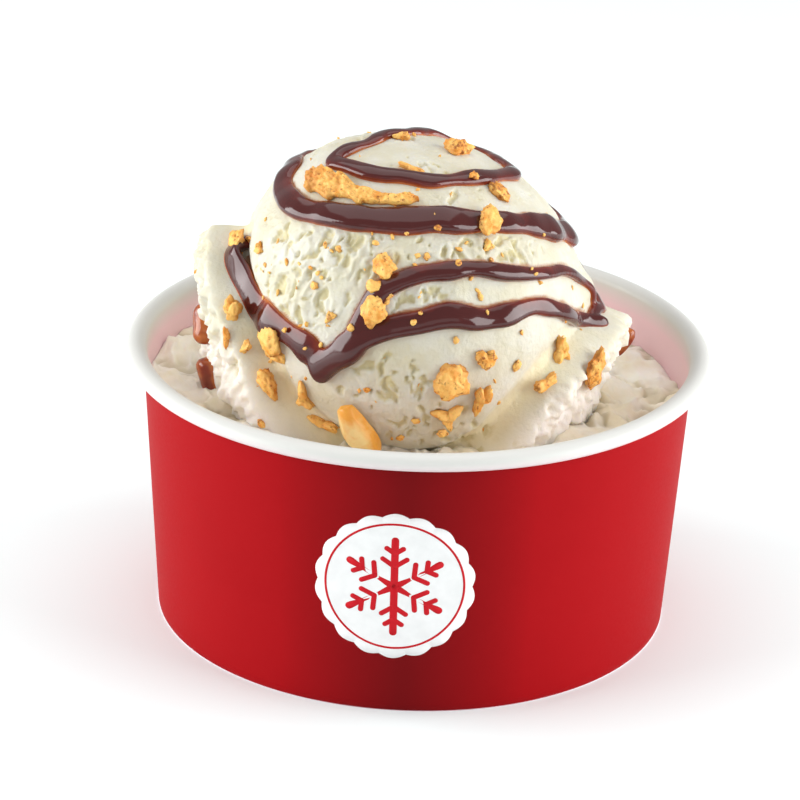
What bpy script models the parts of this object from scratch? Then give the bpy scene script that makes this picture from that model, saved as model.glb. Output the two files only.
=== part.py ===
"""Gelato in a paper tub: a cup with a rolled rim, filled with gelato, and one scoop set
into it, with thick sauce poured over in bands and toasted pieces scattered on top.

The model is in metres with +Z up, and its origin is the centre of the ring that the cup
stands on. Sizes below are in millimetres and angles in degrees. A bearing is an angle
round the cup, 0 toward the front (-Y), growing toward +X. An elevation is an angle above
the horizontal. Both are seen from the scoop's centre.
"""

import math
import random

import bmesh
import bpy
from mathutils import Vector, noise

MM = 0.001
GAP = 0.3
SEGMENTS = 64

# The paper cup.
CUP_HEIGHT = 44.5
FOOT_RADIUS = 40.6
NECK_RADIUS = 43.2
RIM_RADIUS = 46.0
ROLL_HEIGHT = 2.7
PAPER = 0.6
FOLD_HEIGHT = 6.5
FOLD_FLOOR = 1.0
BASE_TOP = FOLD_HEIGHT + GAP + PAPER
EDGE = 0.2

# The gelato that fills the cup.
FILL_LEVEL = 36.4
FILL_LEFT_RISE = 1.2
FILL_FRONT_DIP = 1.5
FILL_LUMP = 0.8
FILL_LUMP_SIZE = 8.0
FILL_RINGS = 5
HOLLOW_GAP = 0.8

# The scoop: a ball slightly wider than tall, leaning to the left.
SCOOP_CENTRE = Vector((-1.5, 0.0, 51.5))
BALL_WIDE = 27.3
BALL_TALL = 25.2
BALL_POWER = 2.12
BALL_LEAN = 2.4
SCOOP_FOOT = 34.3
SCOOP_SEAT = 31.5

# The torn collar that the scoop left round the ball: its crest, as (bearing, elevation).
CREST = (
    (-180, -6), (-150, 0), (-120, 6), (-102, 12), (-90, 23), (-82, 20), (-72, 12), (-63, 7),
    (-57, 0), (-50, -11), (-42, -22), (-32, -31), (-15, -42), (8, -44), (22, -38), (30, -30),
    (38, -20), (48, -10), (58, -5), (70, -2), (82, 0), (95, -1), (120, -8), (150, -8),
)
COLLAR_RADIUS = 32.0
COLLAR_FLARE = 1.2
# Bulges of the collar: bearing, elevation, half widths in bearing and elevation, height.
COLLAR_BULGES = (
    (-92, 13, 24, 12, 1.9),
    (-104, -20, 22, 9, 1.6),
    (90, -6, 16, 6, 2.0),
    (80, -18, 25, 5, -0.8),
    (58, -24, 26, 8, -1.3),
)
GROOVE_DEPTH = 0.7
GROOVE_ABOVE = 3.5
STEP_BELOW = 4.0
STEP_ABOVE = 1.0
BALL_LUMP = 0.25
COLLAR_LUMP = 0.7
LUMP_SIZE = 5.0

# The routes of the sauce bands, as (bearing, elevation).
SAUCE_PROUD = 1.15
SAUCE_SUNK = 1.2
SAUCE_STEP = 4.0
CROWN_LOOP = (
    (-83, 68), (-72, 61), (-53, 63), (-33, 64), (-12, 66), (9, 65), (28, 65), (52, 64),
    (76, 60), (100, 53), (120, 54), (140, 60), (165, 69), (-157, 77), (-100, 75),
)
SHOULDER_LOOP = (
    (-82, 43), (-67, 42), (-54, 42), (-40, 44), (-29, 45), (-17, 46), (-4, 47), (10, 48),
    (25, 47), (40, 45), (56, 41), (75, 34), (93, 26), (108, 28), (128, 34), (150, 42),
    (178, 48), (-155, 53), (-125, 56), (-105, 54), (-100, 47),
)
LEFT_ARM = (
    (-112, 4), (-104, 12), (-95, 20), (-86, 21), (-77, 16), (-65, 9), (-56, 6), (-45, 4),
    (-37, 2), (-32, -2), (-32, -8),
)
LOW_ARM = (
    (-32, -7), (-22, 1), (-15, 8), (-6, 12), (3, 14), (13, 16), (23, 14), (33, 14), (46, 13),
    (60, 6), (76, -1), (88, -1),
)
HIGH_ARM = (
    (-21, 2), (-15, 13), (-11, 22), (-5, 26), (3, 29), (14, 30), (25, 30), (37, 27),
    (50, 23), (65, 17), (78, 9), (86, 3), (90, -1),
)
BACK_BAND = (
    (86, -1), (97, 4), (112, 11), (132, 17), (155, 20), (180, 21), (-155, 19), (-135, 13),
    (-120, 7), (-108, 2),
)
LEFT_DRIP = ((-106, 6), (-101, 0), (-98, -7), (-98, -13), (-99, -18))
RIGHT_DRIP = ((94, -1), (99, -5), (101, -11), (101, -16))

# The bands: route, width at the start and at the end, and whether the band closes.
BANDS = (
    (CROWN_LOOP, 3.0, 3.0, True),
    (SHOULDER_LOOP, 4.2, 4.2, True),
    (LEFT_ARM, 3.8, 3.8, False),
    (LOW_ARM, 4.6, 3.6, False),
    (HIGH_ARM, 3.4, 2.4, False),
    (BACK_BAND, 3.6, 3.6, False),
    (LEFT_DRIP, 2.2, 3.0, False),
    (RIGHT_DRIP, 2.6, 1.6, False),
)

# Toasted pieces fused to the scoop: (bearing, elevation, length, width, turn).
CRUMBS = (
    (104, 75, 4.6, 4.0, 70), (-143, 82, 2.8, 2.2, 0), (-5, 71, 3.8, 1.8, -30),
    (49, 63, 1.9, 1.4, 0), (61, 54, 4.2, 2.6, 80), (36, 45, 4.0, 3.4, 50),
    (-82, 20, 4.0, 3.6, 40), (-65, 24, 2.0, 1.6, 30), (-10, 31, 4.2, 3.2, -60),
    (-12, 24, 2.0, 1.7, 0), (-11, 17, 4.0, 3.3, 70), (33, 37, 1.9, 1.6, 0),
    (-62, 4, 3.8, 2.4, 75), (-60, -2, 3.6, 1.6, -80), (-56, -5, 3.2, 1.7, 40),
    (-49, 0, 5.0, 4.0, 60), (-50, -8, 4.4, 3.0, 0), (-49, -14, 4.4, 3.4, -50),
    (-37, -19, 4.6, 2.4, -60), (-32, -29, 4.2, 2.0, -20), (14, -6, 5.4, 4.2, 70),
    (25, 1, 2.8, 2.2, 20), (24, -13, 4.4, 2.0, 60), (14, -19, 4.8, 2.4, 30),
    (57, -4, 4.4, 2.6, 50), (48, -11, 4.0, 1.8, 25), (61, -9, 5.6, 3.8, 80),
    (13, -27, 1.8, 1.4, 0), (-26, 13, 1.8, 1.5, 40), (37, -4, 1.7, 1.3, 60),
    (-101, -15, 2.8, 1.9, 10),
)
CRUMB_PROUD = 0.3
CRUMB_RISE = 0.42
BACK_CRUMBS = 12
BACK_CRUMB_SEED = 4

# Two pieces as large as a berry, each a solid of its own.
PIECE_GAP = 0.5
FLAKE_THICK = 1.2
FLAKE_LOW = (
    (-61, 48), (-54, 48.5), (-43, 49.5), (-32, 50.5), (-24, 51.5), (-12, 52.5), (-3, 53), (3, 53.5),
)
FLAKE_HIGH = (
    (-67, 51), (-73, 55), (-61, 57.5), (-43, 58), (-27, 56), (-13, 55.5), (-3, 56.5), (3, 56.5),
)
FLAKE_ACROSS = 4
NUT_PLACE = (-16, -25)
NUT_LENGTH = 9.6
NUT_WIDTH = 5.4
NUT_THICK = 3.2
NUT_TURN = -56
NUT_SIDES = 14

PAPER_RED = (0.62, 0.02, 0.03, 1.0)
PAPER_WHITE = (0.86, 0.86, 0.84, 1.0)
GELATO_BEIGE = (0.66, 0.56, 0.42, 1.0)
GELATO_CREAM = (0.87, 0.85, 0.72, 1.0)
TOASTED = (0.78, 0.42, 0.09, 1.0)


def clear_scene():
    """Remove whatever the file opened with."""
    for thing in list(bpy.data.objects):
        bpy.data.objects.remove(thing, do_unlink=True)


def material(name, colour, roughness):
    """One Principled material, not metallic."""
    made = bpy.data.materials.new(name)
    made.use_nodes = True
    shader = made.node_tree.nodes["Principled BSDF"]
    shader.inputs["Base Color"].default_value = colour
    shader.inputs["Roughness"].default_value = roughness
    shader.inputs["Metallic"].default_value = 0.0
    return made


def mesh_object(name, shape, made):
    """Turn a bmesh in millimetres into an object in metres, smooth but for its edges."""
    bmesh.ops.remove_doubles(shape, verts=shape.verts, dist=0.001)
    bmesh.ops.triangulate(shape, faces=shape.faces)
    bmesh.ops.recalc_face_normals(shape, faces=shape.faces)
    bmesh.ops.scale(shape, vec=(MM, MM, MM), verts=shape.verts)
    mesh = bpy.data.meshes.new(name)
    shape.to_mesh(mesh)
    shape.free()
    mesh.materials.append(made)
    mesh.shade_smooth()
    mesh.set_sharp_from_angle(angle=math.radians(40))
    thing = bpy.data.objects.new(name, mesh)
    bpy.context.scene.collection.objects.link(thing)
    return thing


def smoothstep(low, high, value):
    """0 below low, 1 above high, and smooth between them."""
    part = min(max((value - low) / (high - low), 0.0), 1.0)
    return part * part * (3.0 - 2.0 * part)


def turn_apart(one, other):
    """The signed angle from one bearing to another, in -180 to 180."""
    return (one - other + 180.0) % 360.0 - 180.0


def on_circle(radius, bearing, height):
    """A point at a bearing round the cup's axis."""
    angle = math.radians(bearing)
    return Vector((radius * math.sin(angle), -radius * math.cos(angle), height))


def wall_radius(height):
    """The outer radius of the tapered wall."""
    return FOOT_RADIUS + (NECK_RADIUS - FOOT_RADIUS) * height / (CUP_HEIGHT - ROLL_HEIGHT)


def layer_radius(height, papers, gaps):
    """The radius inside the wall's outer face by so many papers and so many gaps."""
    return wall_radius(height) - papers * PAPER - gaps * GAP


def turned(name, profile, made):
    """Turn a closed outline of (radius, height) points round the cup's axis."""
    shape = bmesh.new()
    points = [shape.verts.new((radius, 0.0, height)) for radius, height in profile]
    edges = [shape.edges.new((point, points[i - 1])) for i, point in enumerate(points)]
    bmesh.ops.spin(
        shape, geom=points + edges, cent=(0, 0, 0), axis=(0, 0, 1),
        angle=math.tau, steps=SEGMENTS, use_merge=True,
    )
    on_axis = [vert for vert in shape.verts if math.hypot(vert.co.x, vert.co.y) < EDGE / 2]
    bmesh.ops.remove_doubles(shape, verts=on_axis, dist=EDGE / 2)
    return mesh_object(name, shape, made)


def rim_roll():
    """The rolled rim's section, from the wall's outside over the top to its inside."""
    middle = CUP_HEIGHT - ROLL_HEIGHT / 2
    inner = layer_radius(middle, 1, 0)
    half_width = (RIM_RADIUS - inner) / 2
    start, end, steps = -134, 180, 9
    points = []
    for i in range(steps + 1):
        angle = math.radians(start + (end - start) * i / steps)
        radius = inner + half_width + half_width * math.cos(angle)
        points.append((radius, middle + ROLL_HEIGHT / 2 * math.sin(angle)))
    return points


def build_cup_wall(made):
    """The wall, its rolled rim, and the leg folded in and up round the base's skirt."""
    profile = [(wall_radius(0) - EDGE, 0), (wall_radius(EDGE), EDGE)]
    profile += rim_roll()
    profile += [
        (layer_radius(FOLD_FLOOR, 1, 0), FOLD_FLOOR),
        (layer_radius(FOLD_FLOOR, 2, 2), FOLD_FLOOR),
        (layer_radius(FOLD_HEIGHT, 2, 2), FOLD_HEIGHT),
        (layer_radius(FOLD_HEIGHT, 3, 2), FOLD_HEIGHT),
        (layer_radius(EDGE, 3, 2), EDGE),
        (layer_radius(0, 3, 2) + EDGE, 0),
    ]
    return turned("cup_wall", profile, made)


def build_cup_base(made):
    """The recessed base disc, with its skirt down between the wall and the folded leg."""
    under = BASE_TOP - PAPER
    foot = FOLD_FLOOR + GAP
    profile = [
        (0, BASE_TOP),
        (0, under),
        (layer_radius(under, 2, 1), under),
        (layer_radius(foot, 2, 1), foot),
        (layer_radius(foot, 1, 1), foot),
        (layer_radius(BASE_TOP - EDGE, 1, 1), BASE_TOP - EDGE),
        (layer_radius(BASE_TOP, 1, 1) - EDGE, BASE_TOP),
    ]
    return turned("cup_base", profile, made)


def crest_elevation(bearing):
    """The collar's crest at a bearing, on a smooth closed curve through its points."""
    count = len(CREST)
    bearing = turn_apart(bearing, 0)
    k = max(i for i in range(count) if CREST[i][0] <= bearing)
    before, here, there, after = (CREST[(k + i) % count] for i in (-1, 0, 1, 2))
    span = (there[0] - here[0]) % 360
    slope_here = (there[1] - before[1]) / ((there[0] - before[0]) % 360)
    slope_there = (after[1] - here[1]) / ((after[0] - here[0]) % 360)
    t = (bearing - here[0]) / span
    rise = t * t * (3 - 2 * t)
    lead = t * (t - 1) * (t - 1) * span * slope_here
    trail = t * t * (t - 1) * span * slope_there
    return here[1] + (there[1] - here[1]) * rise + lead + trail


def crest_steepness(bearing):
    """How much of an elevation step counts as distance across the sloping crest."""
    reach = 2.0
    slope = (crest_elevation(bearing + reach) - crest_elevation(bearing - reach)) / (2 * reach)
    return 1.0 / math.sqrt(1.0 + slope * slope)


def direction(bearing, elevation):
    """The unit vector toward a bearing and an elevation."""
    level = math.cos(math.radians(elevation))
    flat = on_circle(level, bearing, math.sin(math.radians(elevation)))
    return flat.normalized()


def angles_of(way):
    """The bearing and elevation of a vector."""
    flat = math.hypot(way.x, way.y)
    return math.degrees(math.atan2(way.x, -way.y)), math.degrees(math.atan2(way.z, flat))


def ball_radius(way):
    """The plain ball: a squarish ellipsoid that leans to the left at its top."""
    flat = math.hypot(way.x, way.y)
    wide = (flat / BALL_WIDE) ** BALL_POWER
    tall = (abs(way.z) / BALL_TALL) ** BALL_POWER
    return (wide + tall) ** (-1 / BALL_POWER) - BALL_LEAN * way.x * max(way.z, 0.0)


def collar_radius(bearing, elevation):
    """The outer face of the torn collar."""
    radius = COLLAR_RADIUS + COLLAR_FLARE * smoothstep(8, 24, -elevation)
    for at, up, half_turn, half_rise, height in COLLAR_BULGES:
        away = (turn_apart(bearing, at) / half_turn) ** 2 + ((elevation - up) / half_rise) ** 2
        radius += height * math.exp(-away)
    return radius


def scoop_radius(way):
    """How far the scoop's surface is from its centre along a unit vector."""
    bearing, elevation = angles_of(way)
    below = (crest_elevation(bearing) - elevation) * crest_steepness(bearing)
    ball = ball_radius(way)
    on_collar = smoothstep(-STEP_ABOVE, STEP_BELOW, below)
    groove = GROOVE_DEPTH * math.exp(-(((below + GROOVE_ABOVE) / 2.5) ** 2))
    lump = noise.noise(way * (BALL_WIDE / LUMP_SIZE))
    size = BALL_LUMP + (COLLAR_LUMP - BALL_LUMP) * on_collar
    return ball + (collar_radius(bearing, elevation) - ball) * on_collar - groove + size * lump


def on_scoop(way, proud=0.0):
    """The point of the scoop's surface along a unit vector, or one proud of it."""
    return SCOOP_CENTRE + way * (scoop_radius(way) + proud)


def meeting_elevation(bearing, height):
    """The elevation where the scoop's surface comes down to a height."""
    low, high = -70.0, -5.0
    for _ in range(20):
        middle = (low + high) / 2
        if on_scoop(direction(bearing, middle)).z > height:
            high = middle
        else:
            low = middle
    return high


def bearings():
    """The bearings of the turned pieces' and the scoop's segments."""
    return [360.0 * i / SEGMENTS - 180.0 for i in range(SEGMENTS)]


def scoop_outline(at, height, clear):
    """The scoop's outline where its surface is at one height, grown and set at another."""
    ring = []
    for bearing in bearings():
        point = on_scoop(direction(bearing, meeting_elevation(bearing, at)), clear)
        ring.append(Vector((point.x, point.y, height)))
    return ring


def lofted(rings, start, end):
    """A closed bmesh through rings of equal length, shut by a fan to a point at each end."""
    shape = bmesh.new()
    loops = [[shape.verts.new(point) for point in ring] for ring in rings]
    first, last = shape.verts.new(start), shape.verts.new(end)
    count = len(rings[0])
    for i in range(count):
        j = (i + 1) % count
        shape.faces.new((first, loops[0][j], loops[0][i]))
        for lower, upper in zip(loops, loops[1:]):
            shape.faces.new((lower[i], lower[j], upper[j], upper[i]))
        shape.faces.new((last, loops[-1][i], loops[-1][j]))
    return shape


def fill_height(x, y):
    """The uneven top of the gelato in the cup."""
    level = FILL_LEVEL - FILL_LEFT_RISE * x / FOOT_RADIUS
    level -= FILL_FRONT_DIP * smoothstep(8, 24, -y) * smoothstep(-26, -12, -abs(x))
    return level + FILL_LUMP * noise.noise(Vector((x, y, 0)) / FILL_LUMP_SIZE)


def hollow_brim():
    """Where the top of the gelato in the cup meets the scoop, clear of it."""
    ring = []
    for bearing in bearings():
        height = FILL_LEVEL
        for _ in range(3):
            way = direction(bearing, meeting_elevation(bearing, height))
            point = on_scoop(way, HOLLOW_GAP)
            height = fill_height(point.x, point.y)
        ring.append(point)
    return ring


def build_fill(made):
    """The gelato in the cup, with the hollow that the scoop sits in."""
    bottom = BASE_TOP + GAP
    floor = SCOOP_SEAT - GAP
    wall = [on_circle(layer_radius(FILL_LEVEL, 1, 1), bearing, 0) for bearing in bearings()]
    rings = [[on_circle(layer_radius(bottom, 1, 1), bearing, bottom) for bearing in bearings()]]
    for k in range(FILL_RINGS):
        inward = k / (FILL_RINGS - 1)
        ring = []
        for outer, inner in zip(wall, hollow_brim()):
            point = outer.lerp(inner, inward)
            ring.append(Vector((point.x, point.y, fill_height(point.x, point.y))))
        rings.append(ring)
    rings.append(scoop_outline(SCOOP_FOOT, SCOOP_FOOT, HOLLOW_GAP))
    rings.append(scoop_outline(SCOOP_FOOT, floor, HOLLOW_GAP))
    middle = (SCOOP_CENTRE.x, SCOOP_CENTRE.y, floor)
    return mesh_object("gelato_fill", lofted(rings, (0, 0, bottom), middle), made)


def scoop_rows(bearing):
    """The elevations of the scoop's rows at a bearing, packed closer along the crest."""
    crest = crest_elevation(bearing)
    across = crest_steepness(bearing)
    foot = meeting_elevation(bearing, SCOOP_FOOT)
    marks = [foot]
    for mark in (-STEP_BELOW / across, STEP_ABOVE / across, GROOVE_ABOVE / across + 3):
        marks.append(max(crest + mark, marks[-1] + 3))
    marks.append(87.0)
    rows = []
    for low, high, steps in zip(marks, marks[1:], (4, 3, 2, 13)):
        rows += [low + (high - low) * i / steps for i in range(steps)]
    return rows + [marks[-1]]


def build_ball(made):
    """The bare scoop: the ball, its groove and its collar, down to a flat seat."""
    columns = []
    for bearing in bearings():
        columns.append([on_scoop(direction(bearing, row)) for row in scoop_rows(bearing)])
    rings = [scoop_outline(SCOOP_FOOT, SCOOP_SEAT, 0.0)] + [list(ring) for ring in zip(*columns)]
    seat = (SCOOP_CENTRE.x, SCOOP_CENTRE.y, SCOOP_SEAT)
    crown = on_scoop(Vector((0, 0, 1)))
    return mesh_object("scoop", lofted(rings, seat, crown), made)


def smooth_route(route, closed):
    """Unit vectors at even steps along a smooth curve through a band's points."""
    ways = [direction(*point) for point in route]
    count = len(ways)
    found = []
    for i in range(count if closed else count - 1):
        if closed:
            a, b, c, d = (ways[(i + k) % count] for k in (-1, 0, 1, 2))
        else:
            a, b, c, d = (ways[min(max(i + k, 0), count - 1)] for k in (-1, 0, 1, 2))
        steps = max(1, round((c - b).length * BALL_WIDE / SAUCE_STEP))
        for k in range(steps):
            t = k / steps
            curve = 2 * b + (c - a) * t
            curve += (2 * a - 5 * b + 4 * c - d) * t * t
            curve += (3 * b - a - 3 * c + d) * t * t * t
            found.append(curve.normalized())
    if not closed:
        found.append(ways[-1])
    return found


def band_section(way, along, half_width):
    """Six points round a sauce band: a low crown on the surface and a root below it."""
    middle = on_scoop(way)
    side = along.cross(way).normalized()
    up = side.cross(along).normalized()
    section = [middle - up * SAUCE_SUNK]
    for angle in (0, 45, 90, 135, 180):
        turn = math.radians(angle)
        section.append(
            middle + side * (half_width * math.cos(turn)) + up * (SAUCE_PROUD * math.sin(turn))
        )
    return section


def sauce_band(route, width, end_width, closed):
    """A band of thick sauce that follows the scoop's surface."""
    ways = smooth_route(route, closed)
    count = len(ways)
    sections = []
    for i, way in enumerate(ways):
        behind = ways[i - 1] if closed or i else way
        ahead = ways[(i + 1) % count] if closed or i < count - 1 else way
        along = (on_scoop(ahead) - on_scoop(behind)).normalized()
        part = i / count
        full = width + (end_width - width) * part
        tapered = 1.0 if closed or 0 < i < count - 1 else 0.6
        sections.append(band_section(way, along, full / 2 * tapered))
    shape = bmesh.new()
    loops = [[shape.verts.new(point) for point in section] for section in sections]
    for i in range(count if closed else count - 1):
        one, other = loops[i], loops[(i + 1) % count]
        for k in range(len(one)):
            shape.faces.new((one[k - 1], one[k], other[k], other[k - 1]))
    if not closed:
        shape.faces.new(loops[0])
        shape.faces.new(loops[-1][::-1])
    return shape


def crumb(bearing, elevation, length, width, turn, draw):
    """A low lump of about thirty triangles, half sunk in the surface."""
    way = direction(bearing, elevation)
    east = Vector((0, 0, 1)).cross(way).normalized()
    north = way.cross(east)
    spin = math.radians(turn)
    long_axis = east * math.cos(spin) + north * math.sin(spin)
    cross_axis = way.cross(long_axis)
    centre = on_scoop(way, CRUMB_PROUD * width / 2)
    shape = bmesh.new()
    bmesh.ops.create_uvsphere(shape, u_segments=5, v_segments=4, radius=1.0)
    for vert in shape.verts:
        jitter = 1.0 + draw.uniform(-0.16, 0.16)
        at = vert.co * jitter
        flat = long_axis * (at.x * length / 2) + cross_axis * (at.y * width / 2)
        vert.co = centre + flat + way * (at.z * width * CRUMB_RISE)
    return shape


def scattered_back_crumbs():
    """Pieces on the side away from the front, drawn at random from a fixed seed."""
    draw = random.Random(BACK_CRUMB_SEED)
    for _ in range(BACK_CRUMBS):
        bearing = 180 + draw.uniform(-72, 72)
        length = draw.uniform(2.2, 4.4)
        elevation = draw.uniform(-4, 60)
        width = length * draw.uniform(0.6, 0.9)
        yield bearing, elevation, length, width, draw.uniform(0, 180)


def build_scoop(made):
    """The ball with the sauce bands and the small toasted pieces fused on."""
    scoop = build_ball(made)
    shapes = [sauce_band(*band) for band in BANDS]
    draw = random.Random(BACK_CRUMB_SEED)
    for place in list(CRUMBS) + list(scattered_back_crumbs()):
        shapes.append(crumb(*place, draw))
    toppings = bpy.data.collections.new("toppings")
    bpy.context.scene.collection.children.link(toppings)
    for i, shape in enumerate(shapes):
        piece = mesh_object(f"topping_{i}", shape, made)
        bpy.context.scene.collection.objects.unlink(piece)
        toppings.objects.link(piece)
    fuse = scoop.modifiers.new("fuse", "BOOLEAN")
    fuse.operation = "UNION"
    fuse.operand_type = "COLLECTION"
    fuse.collection = toppings
    fuse.solver = "EXACT"
    apply_modifiers(scoop)
    for piece in list(toppings.objects):
        bpy.data.objects.remove(piece, do_unlink=True)
    bpy.data.collections.remove(toppings)
    return scoop


def apply_modifiers(thing):
    """Replace an object's mesh with its evaluated one and drop its modifiers."""
    bpy.context.view_layer.update()
    seen = thing.evaluated_get(bpy.context.evaluated_depsgraph_get())
    mesh = bpy.data.meshes.new_from_object(seen)
    thing.modifiers.clear()
    thing.data = mesh


def build_flake(made):
    """The large flat flake, a plate that follows the scoop between the sauce bands."""
    outer, inner = [], []
    for low, high in zip(FLAKE_LOW, FLAKE_HIGH):
        start, end = direction(*low), direction(*high)
        parts = [k / (FLAKE_ACROSS - 1) for k in range(FLAKE_ACROSS)]
        across = [start.lerp(end, part).normalized() for part in parts]
        inner.append([on_scoop(way, PIECE_GAP) for way in across])
        outer.append([on_scoop(way, PIECE_GAP + FLAKE_THICK) for way in across])
    shape = bmesh.new()
    faces = {"outer": outer, "inner": inner}
    grids = {}
    for side, rows in faces.items():
        grids[side] = [[shape.verts.new(point) for point in row] for row in rows]
    last, wide = len(FLAKE_LOW) - 1, FLAKE_ACROSS - 1
    for i in range(last):
        for k in range(wide):
            for grid in grids.values():
                shape.faces.new((grid[i][k], grid[i + 1][k], grid[i + 1][k + 1], grid[i][k + 1]))
    border = [(i, 0) for i in range(last)] + [(last, k) for k in range(wide)]
    border += [(i, wide) for i in range(last, 0, -1)] + [(0, k) for k in range(wide, 0, -1)]
    for (i, k), (m, n) in zip(border, border[1:] + border[:1]):
        one, other = grids["outer"], grids["inner"]
        shape.faces.new((one[i][k], one[m][n], other[m][n], other[i][k]))
    return mesh_object("toasted_flake", shape, made)


def build_nut(made):
    """The large nut, an oval dome that lies on the front of the scoop."""
    centre = direction(*NUT_PLACE)
    east = Vector((0, 0, 1)).cross(centre).normalized()
    north = centre.cross(east)
    spin = math.radians(NUT_TURN)
    reach = scoop_radius(centre)
    rings = []
    stations = ((0.5, 0.0), (1.0, 0.0), (1.0, 0.45), (0.8, 0.7), (0.5, 0.93))
    for part, rise in stations:
        ring = []
        for i in range(NUT_SIDES):
            angle = math.tau * i / NUT_SIDES
            x = part * NUT_LENGTH / 2 * math.cos(angle)
            y = part * NUT_WIDTH / 2 * math.sin(angle)
            along = east * (x * math.cos(spin) - y * math.sin(spin))
            along += north * (x * math.sin(spin) + y * math.cos(spin))
            way = (centre * reach + along).normalized()
            ring.append(on_scoop(way, PIECE_GAP + rise * NUT_THICK))
        rings.append(ring)
    under = on_scoop(centre, PIECE_GAP)
    top = on_scoop(centre, PIECE_GAP + NUT_THICK)
    return mesh_object("toasted_nut", lofted(rings, under, top), made)


def main():
    """Build every node."""
    clear_scene()
    red = material("red_paper", PAPER_RED, 0.4)
    white = material("white_paper", PAPER_WHITE, 0.6)
    beige = material("beige_gelato", GELATO_BEIGE, 0.6)
    cream = material("cream_gelato", GELATO_CREAM, 0.5)
    toasted = material("toasted_topping", TOASTED, 0.5)
    build_cup_wall(red)
    build_cup_base(white)
    build_fill(beige)
    build_scoop(cream)
    build_flake(toasted)
    build_nut(toasted.copy())


main()
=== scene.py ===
"""The looks of a gelato cup: a red paper tub of beige gelato, with one scoop of cream-coloured
gelato, bands of dark sauce poured over it and toasted pieces scattered on top.

Sizes are in millimetres and angles in degrees until a mesh is made, where they become metres.
A bearing is an angle round the cup, 0 toward the front (-Y), growing toward +X. An elevation is
an angle above the horizontal. Both are seen from the scoop's centre.
"""

import logging
import math
import random
from dataclasses import dataclass, field
from enum import Enum

import bmesh
import bpy
import numpy as np
from mathutils import Matrix, Vector, kdtree, noise


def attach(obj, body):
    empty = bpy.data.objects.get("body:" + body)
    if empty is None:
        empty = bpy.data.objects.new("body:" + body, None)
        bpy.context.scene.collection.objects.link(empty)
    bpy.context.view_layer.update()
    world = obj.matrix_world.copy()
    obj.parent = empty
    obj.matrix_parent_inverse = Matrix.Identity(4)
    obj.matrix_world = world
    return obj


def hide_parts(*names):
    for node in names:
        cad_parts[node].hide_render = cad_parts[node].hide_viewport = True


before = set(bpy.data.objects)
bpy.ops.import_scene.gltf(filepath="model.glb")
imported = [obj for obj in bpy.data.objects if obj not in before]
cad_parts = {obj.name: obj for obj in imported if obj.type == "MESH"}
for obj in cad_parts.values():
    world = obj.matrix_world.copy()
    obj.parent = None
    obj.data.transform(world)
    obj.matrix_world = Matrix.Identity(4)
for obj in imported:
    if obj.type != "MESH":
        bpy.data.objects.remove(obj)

Array = np.ndarray
Colour = tuple[float, float, float, float]
Faces = list[tuple[int, ...]]
Piece = bpy.types.Object
Finish = bpy.types.Material
Layer = tuple[float, float, float]
Marks = tuple[tuple[float, float], ...]
MM = 0.001
BODY = "root"
log = logging.getLogger("gelato_cup")


def smoothstep(low: float, high: float, value: Array) -> Array:
    """Rise smoothly from 0 below low to 1 above high.

    Args:
        low: Where the rise starts.
        high: Where the rise ends.
        value: What is measured.

    Returns:
        The risen values, in 0 to 1.
    """
    part = np.clip((value - low) / (high - low), 0.0, 1.0)
    return part * part * (3.0 - 2.0 * part)


def turn_apart(one: Array, other: float) -> Array:
    """Give the signed angle from one bearing to another.

    Args:
        one: Bearings.
        other: The bearing that they are measured from.

    Returns:
        Angles in -180 to 180.
    """
    return (one - other + 180.0) % 360.0 - 180.0


def direction(bearing: Array, elevation: Array) -> Array:
    """Give unit vectors toward bearings and elevations.

    Args:
        bearing: Bearings in degrees.
        elevation: Elevations in degrees.

    Returns:
        One vector for each pair, in the last axis.
    """
    turn, rise = np.radians(bearing), np.radians(elevation)
    level = np.cos(rise)
    return np.stack([level * np.sin(turn), -level * np.cos(turn), np.sin(rise)], axis=-1)


def angles_of(ways: Array) -> tuple[Array, Array]:
    """Give the bearings and elevations of vectors.

    Args:
        ways: Vectors, in the last axis.

    Returns:
        The bearings and the elevations.
    """
    flat = np.hypot(ways[..., 0], ways[..., 1])
    bearing = np.degrees(np.arctan2(ways[..., 0], -ways[..., 1]))
    return bearing, np.degrees(np.arctan2(ways[..., 2], flat))


def unit(vectors: Array) -> Array:
    """Scale vectors to length one.

    Args:
        vectors: Vectors, in the last axis.

    Returns:
        The scaled vectors.
    """
    return vectors / np.maximum(np.linalg.norm(vectors, axis=-1, keepdims=True), 1e-9)


def lumps(points: Array, size: float, seed: float = 0.0) -> Array:
    """Smooth noise in about -1 to 1 with lumps of one size.

    Args:
        points: Points in millimetres.
        size: The size of a lump, or one for each axis.
        seed: Shifts the pattern, so two uses differ.

    Returns:
        One value for each point.
    """
    flat = (points / size).reshape(-1, 3) + seed
    found = np.array([noise.noise(place) for place in flat.tolist()])
    return found.reshape(points.shape[:-1])


def layered(points: Array, *layers: Layer) -> Array:
    """Add up noise of several sizes.

    Args:
        points: Points in millimetres.
        layers: The height, the size and the seed of each.

    Returns:
        One value for each point.
    """
    return sum(height * lumps(points, size, seed) for height, size, seed in layers)


def hump(across: Array, up: Array, half: tuple[float, float], power: float = 1.0) -> Array:
    """Give a soft hump, 1 high, over an oval.

    Args:
        across: How far off the middle sideways.
        up: How far off it upward.
        half: The oval's half width and half height.
        power: How flat the hump's top is.

    Returns:
        Heights in 0 to 1.
    """
    return np.exp(-(((across / half[0]) ** 2 + (up / half[1]) ** 2) ** power))


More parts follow.
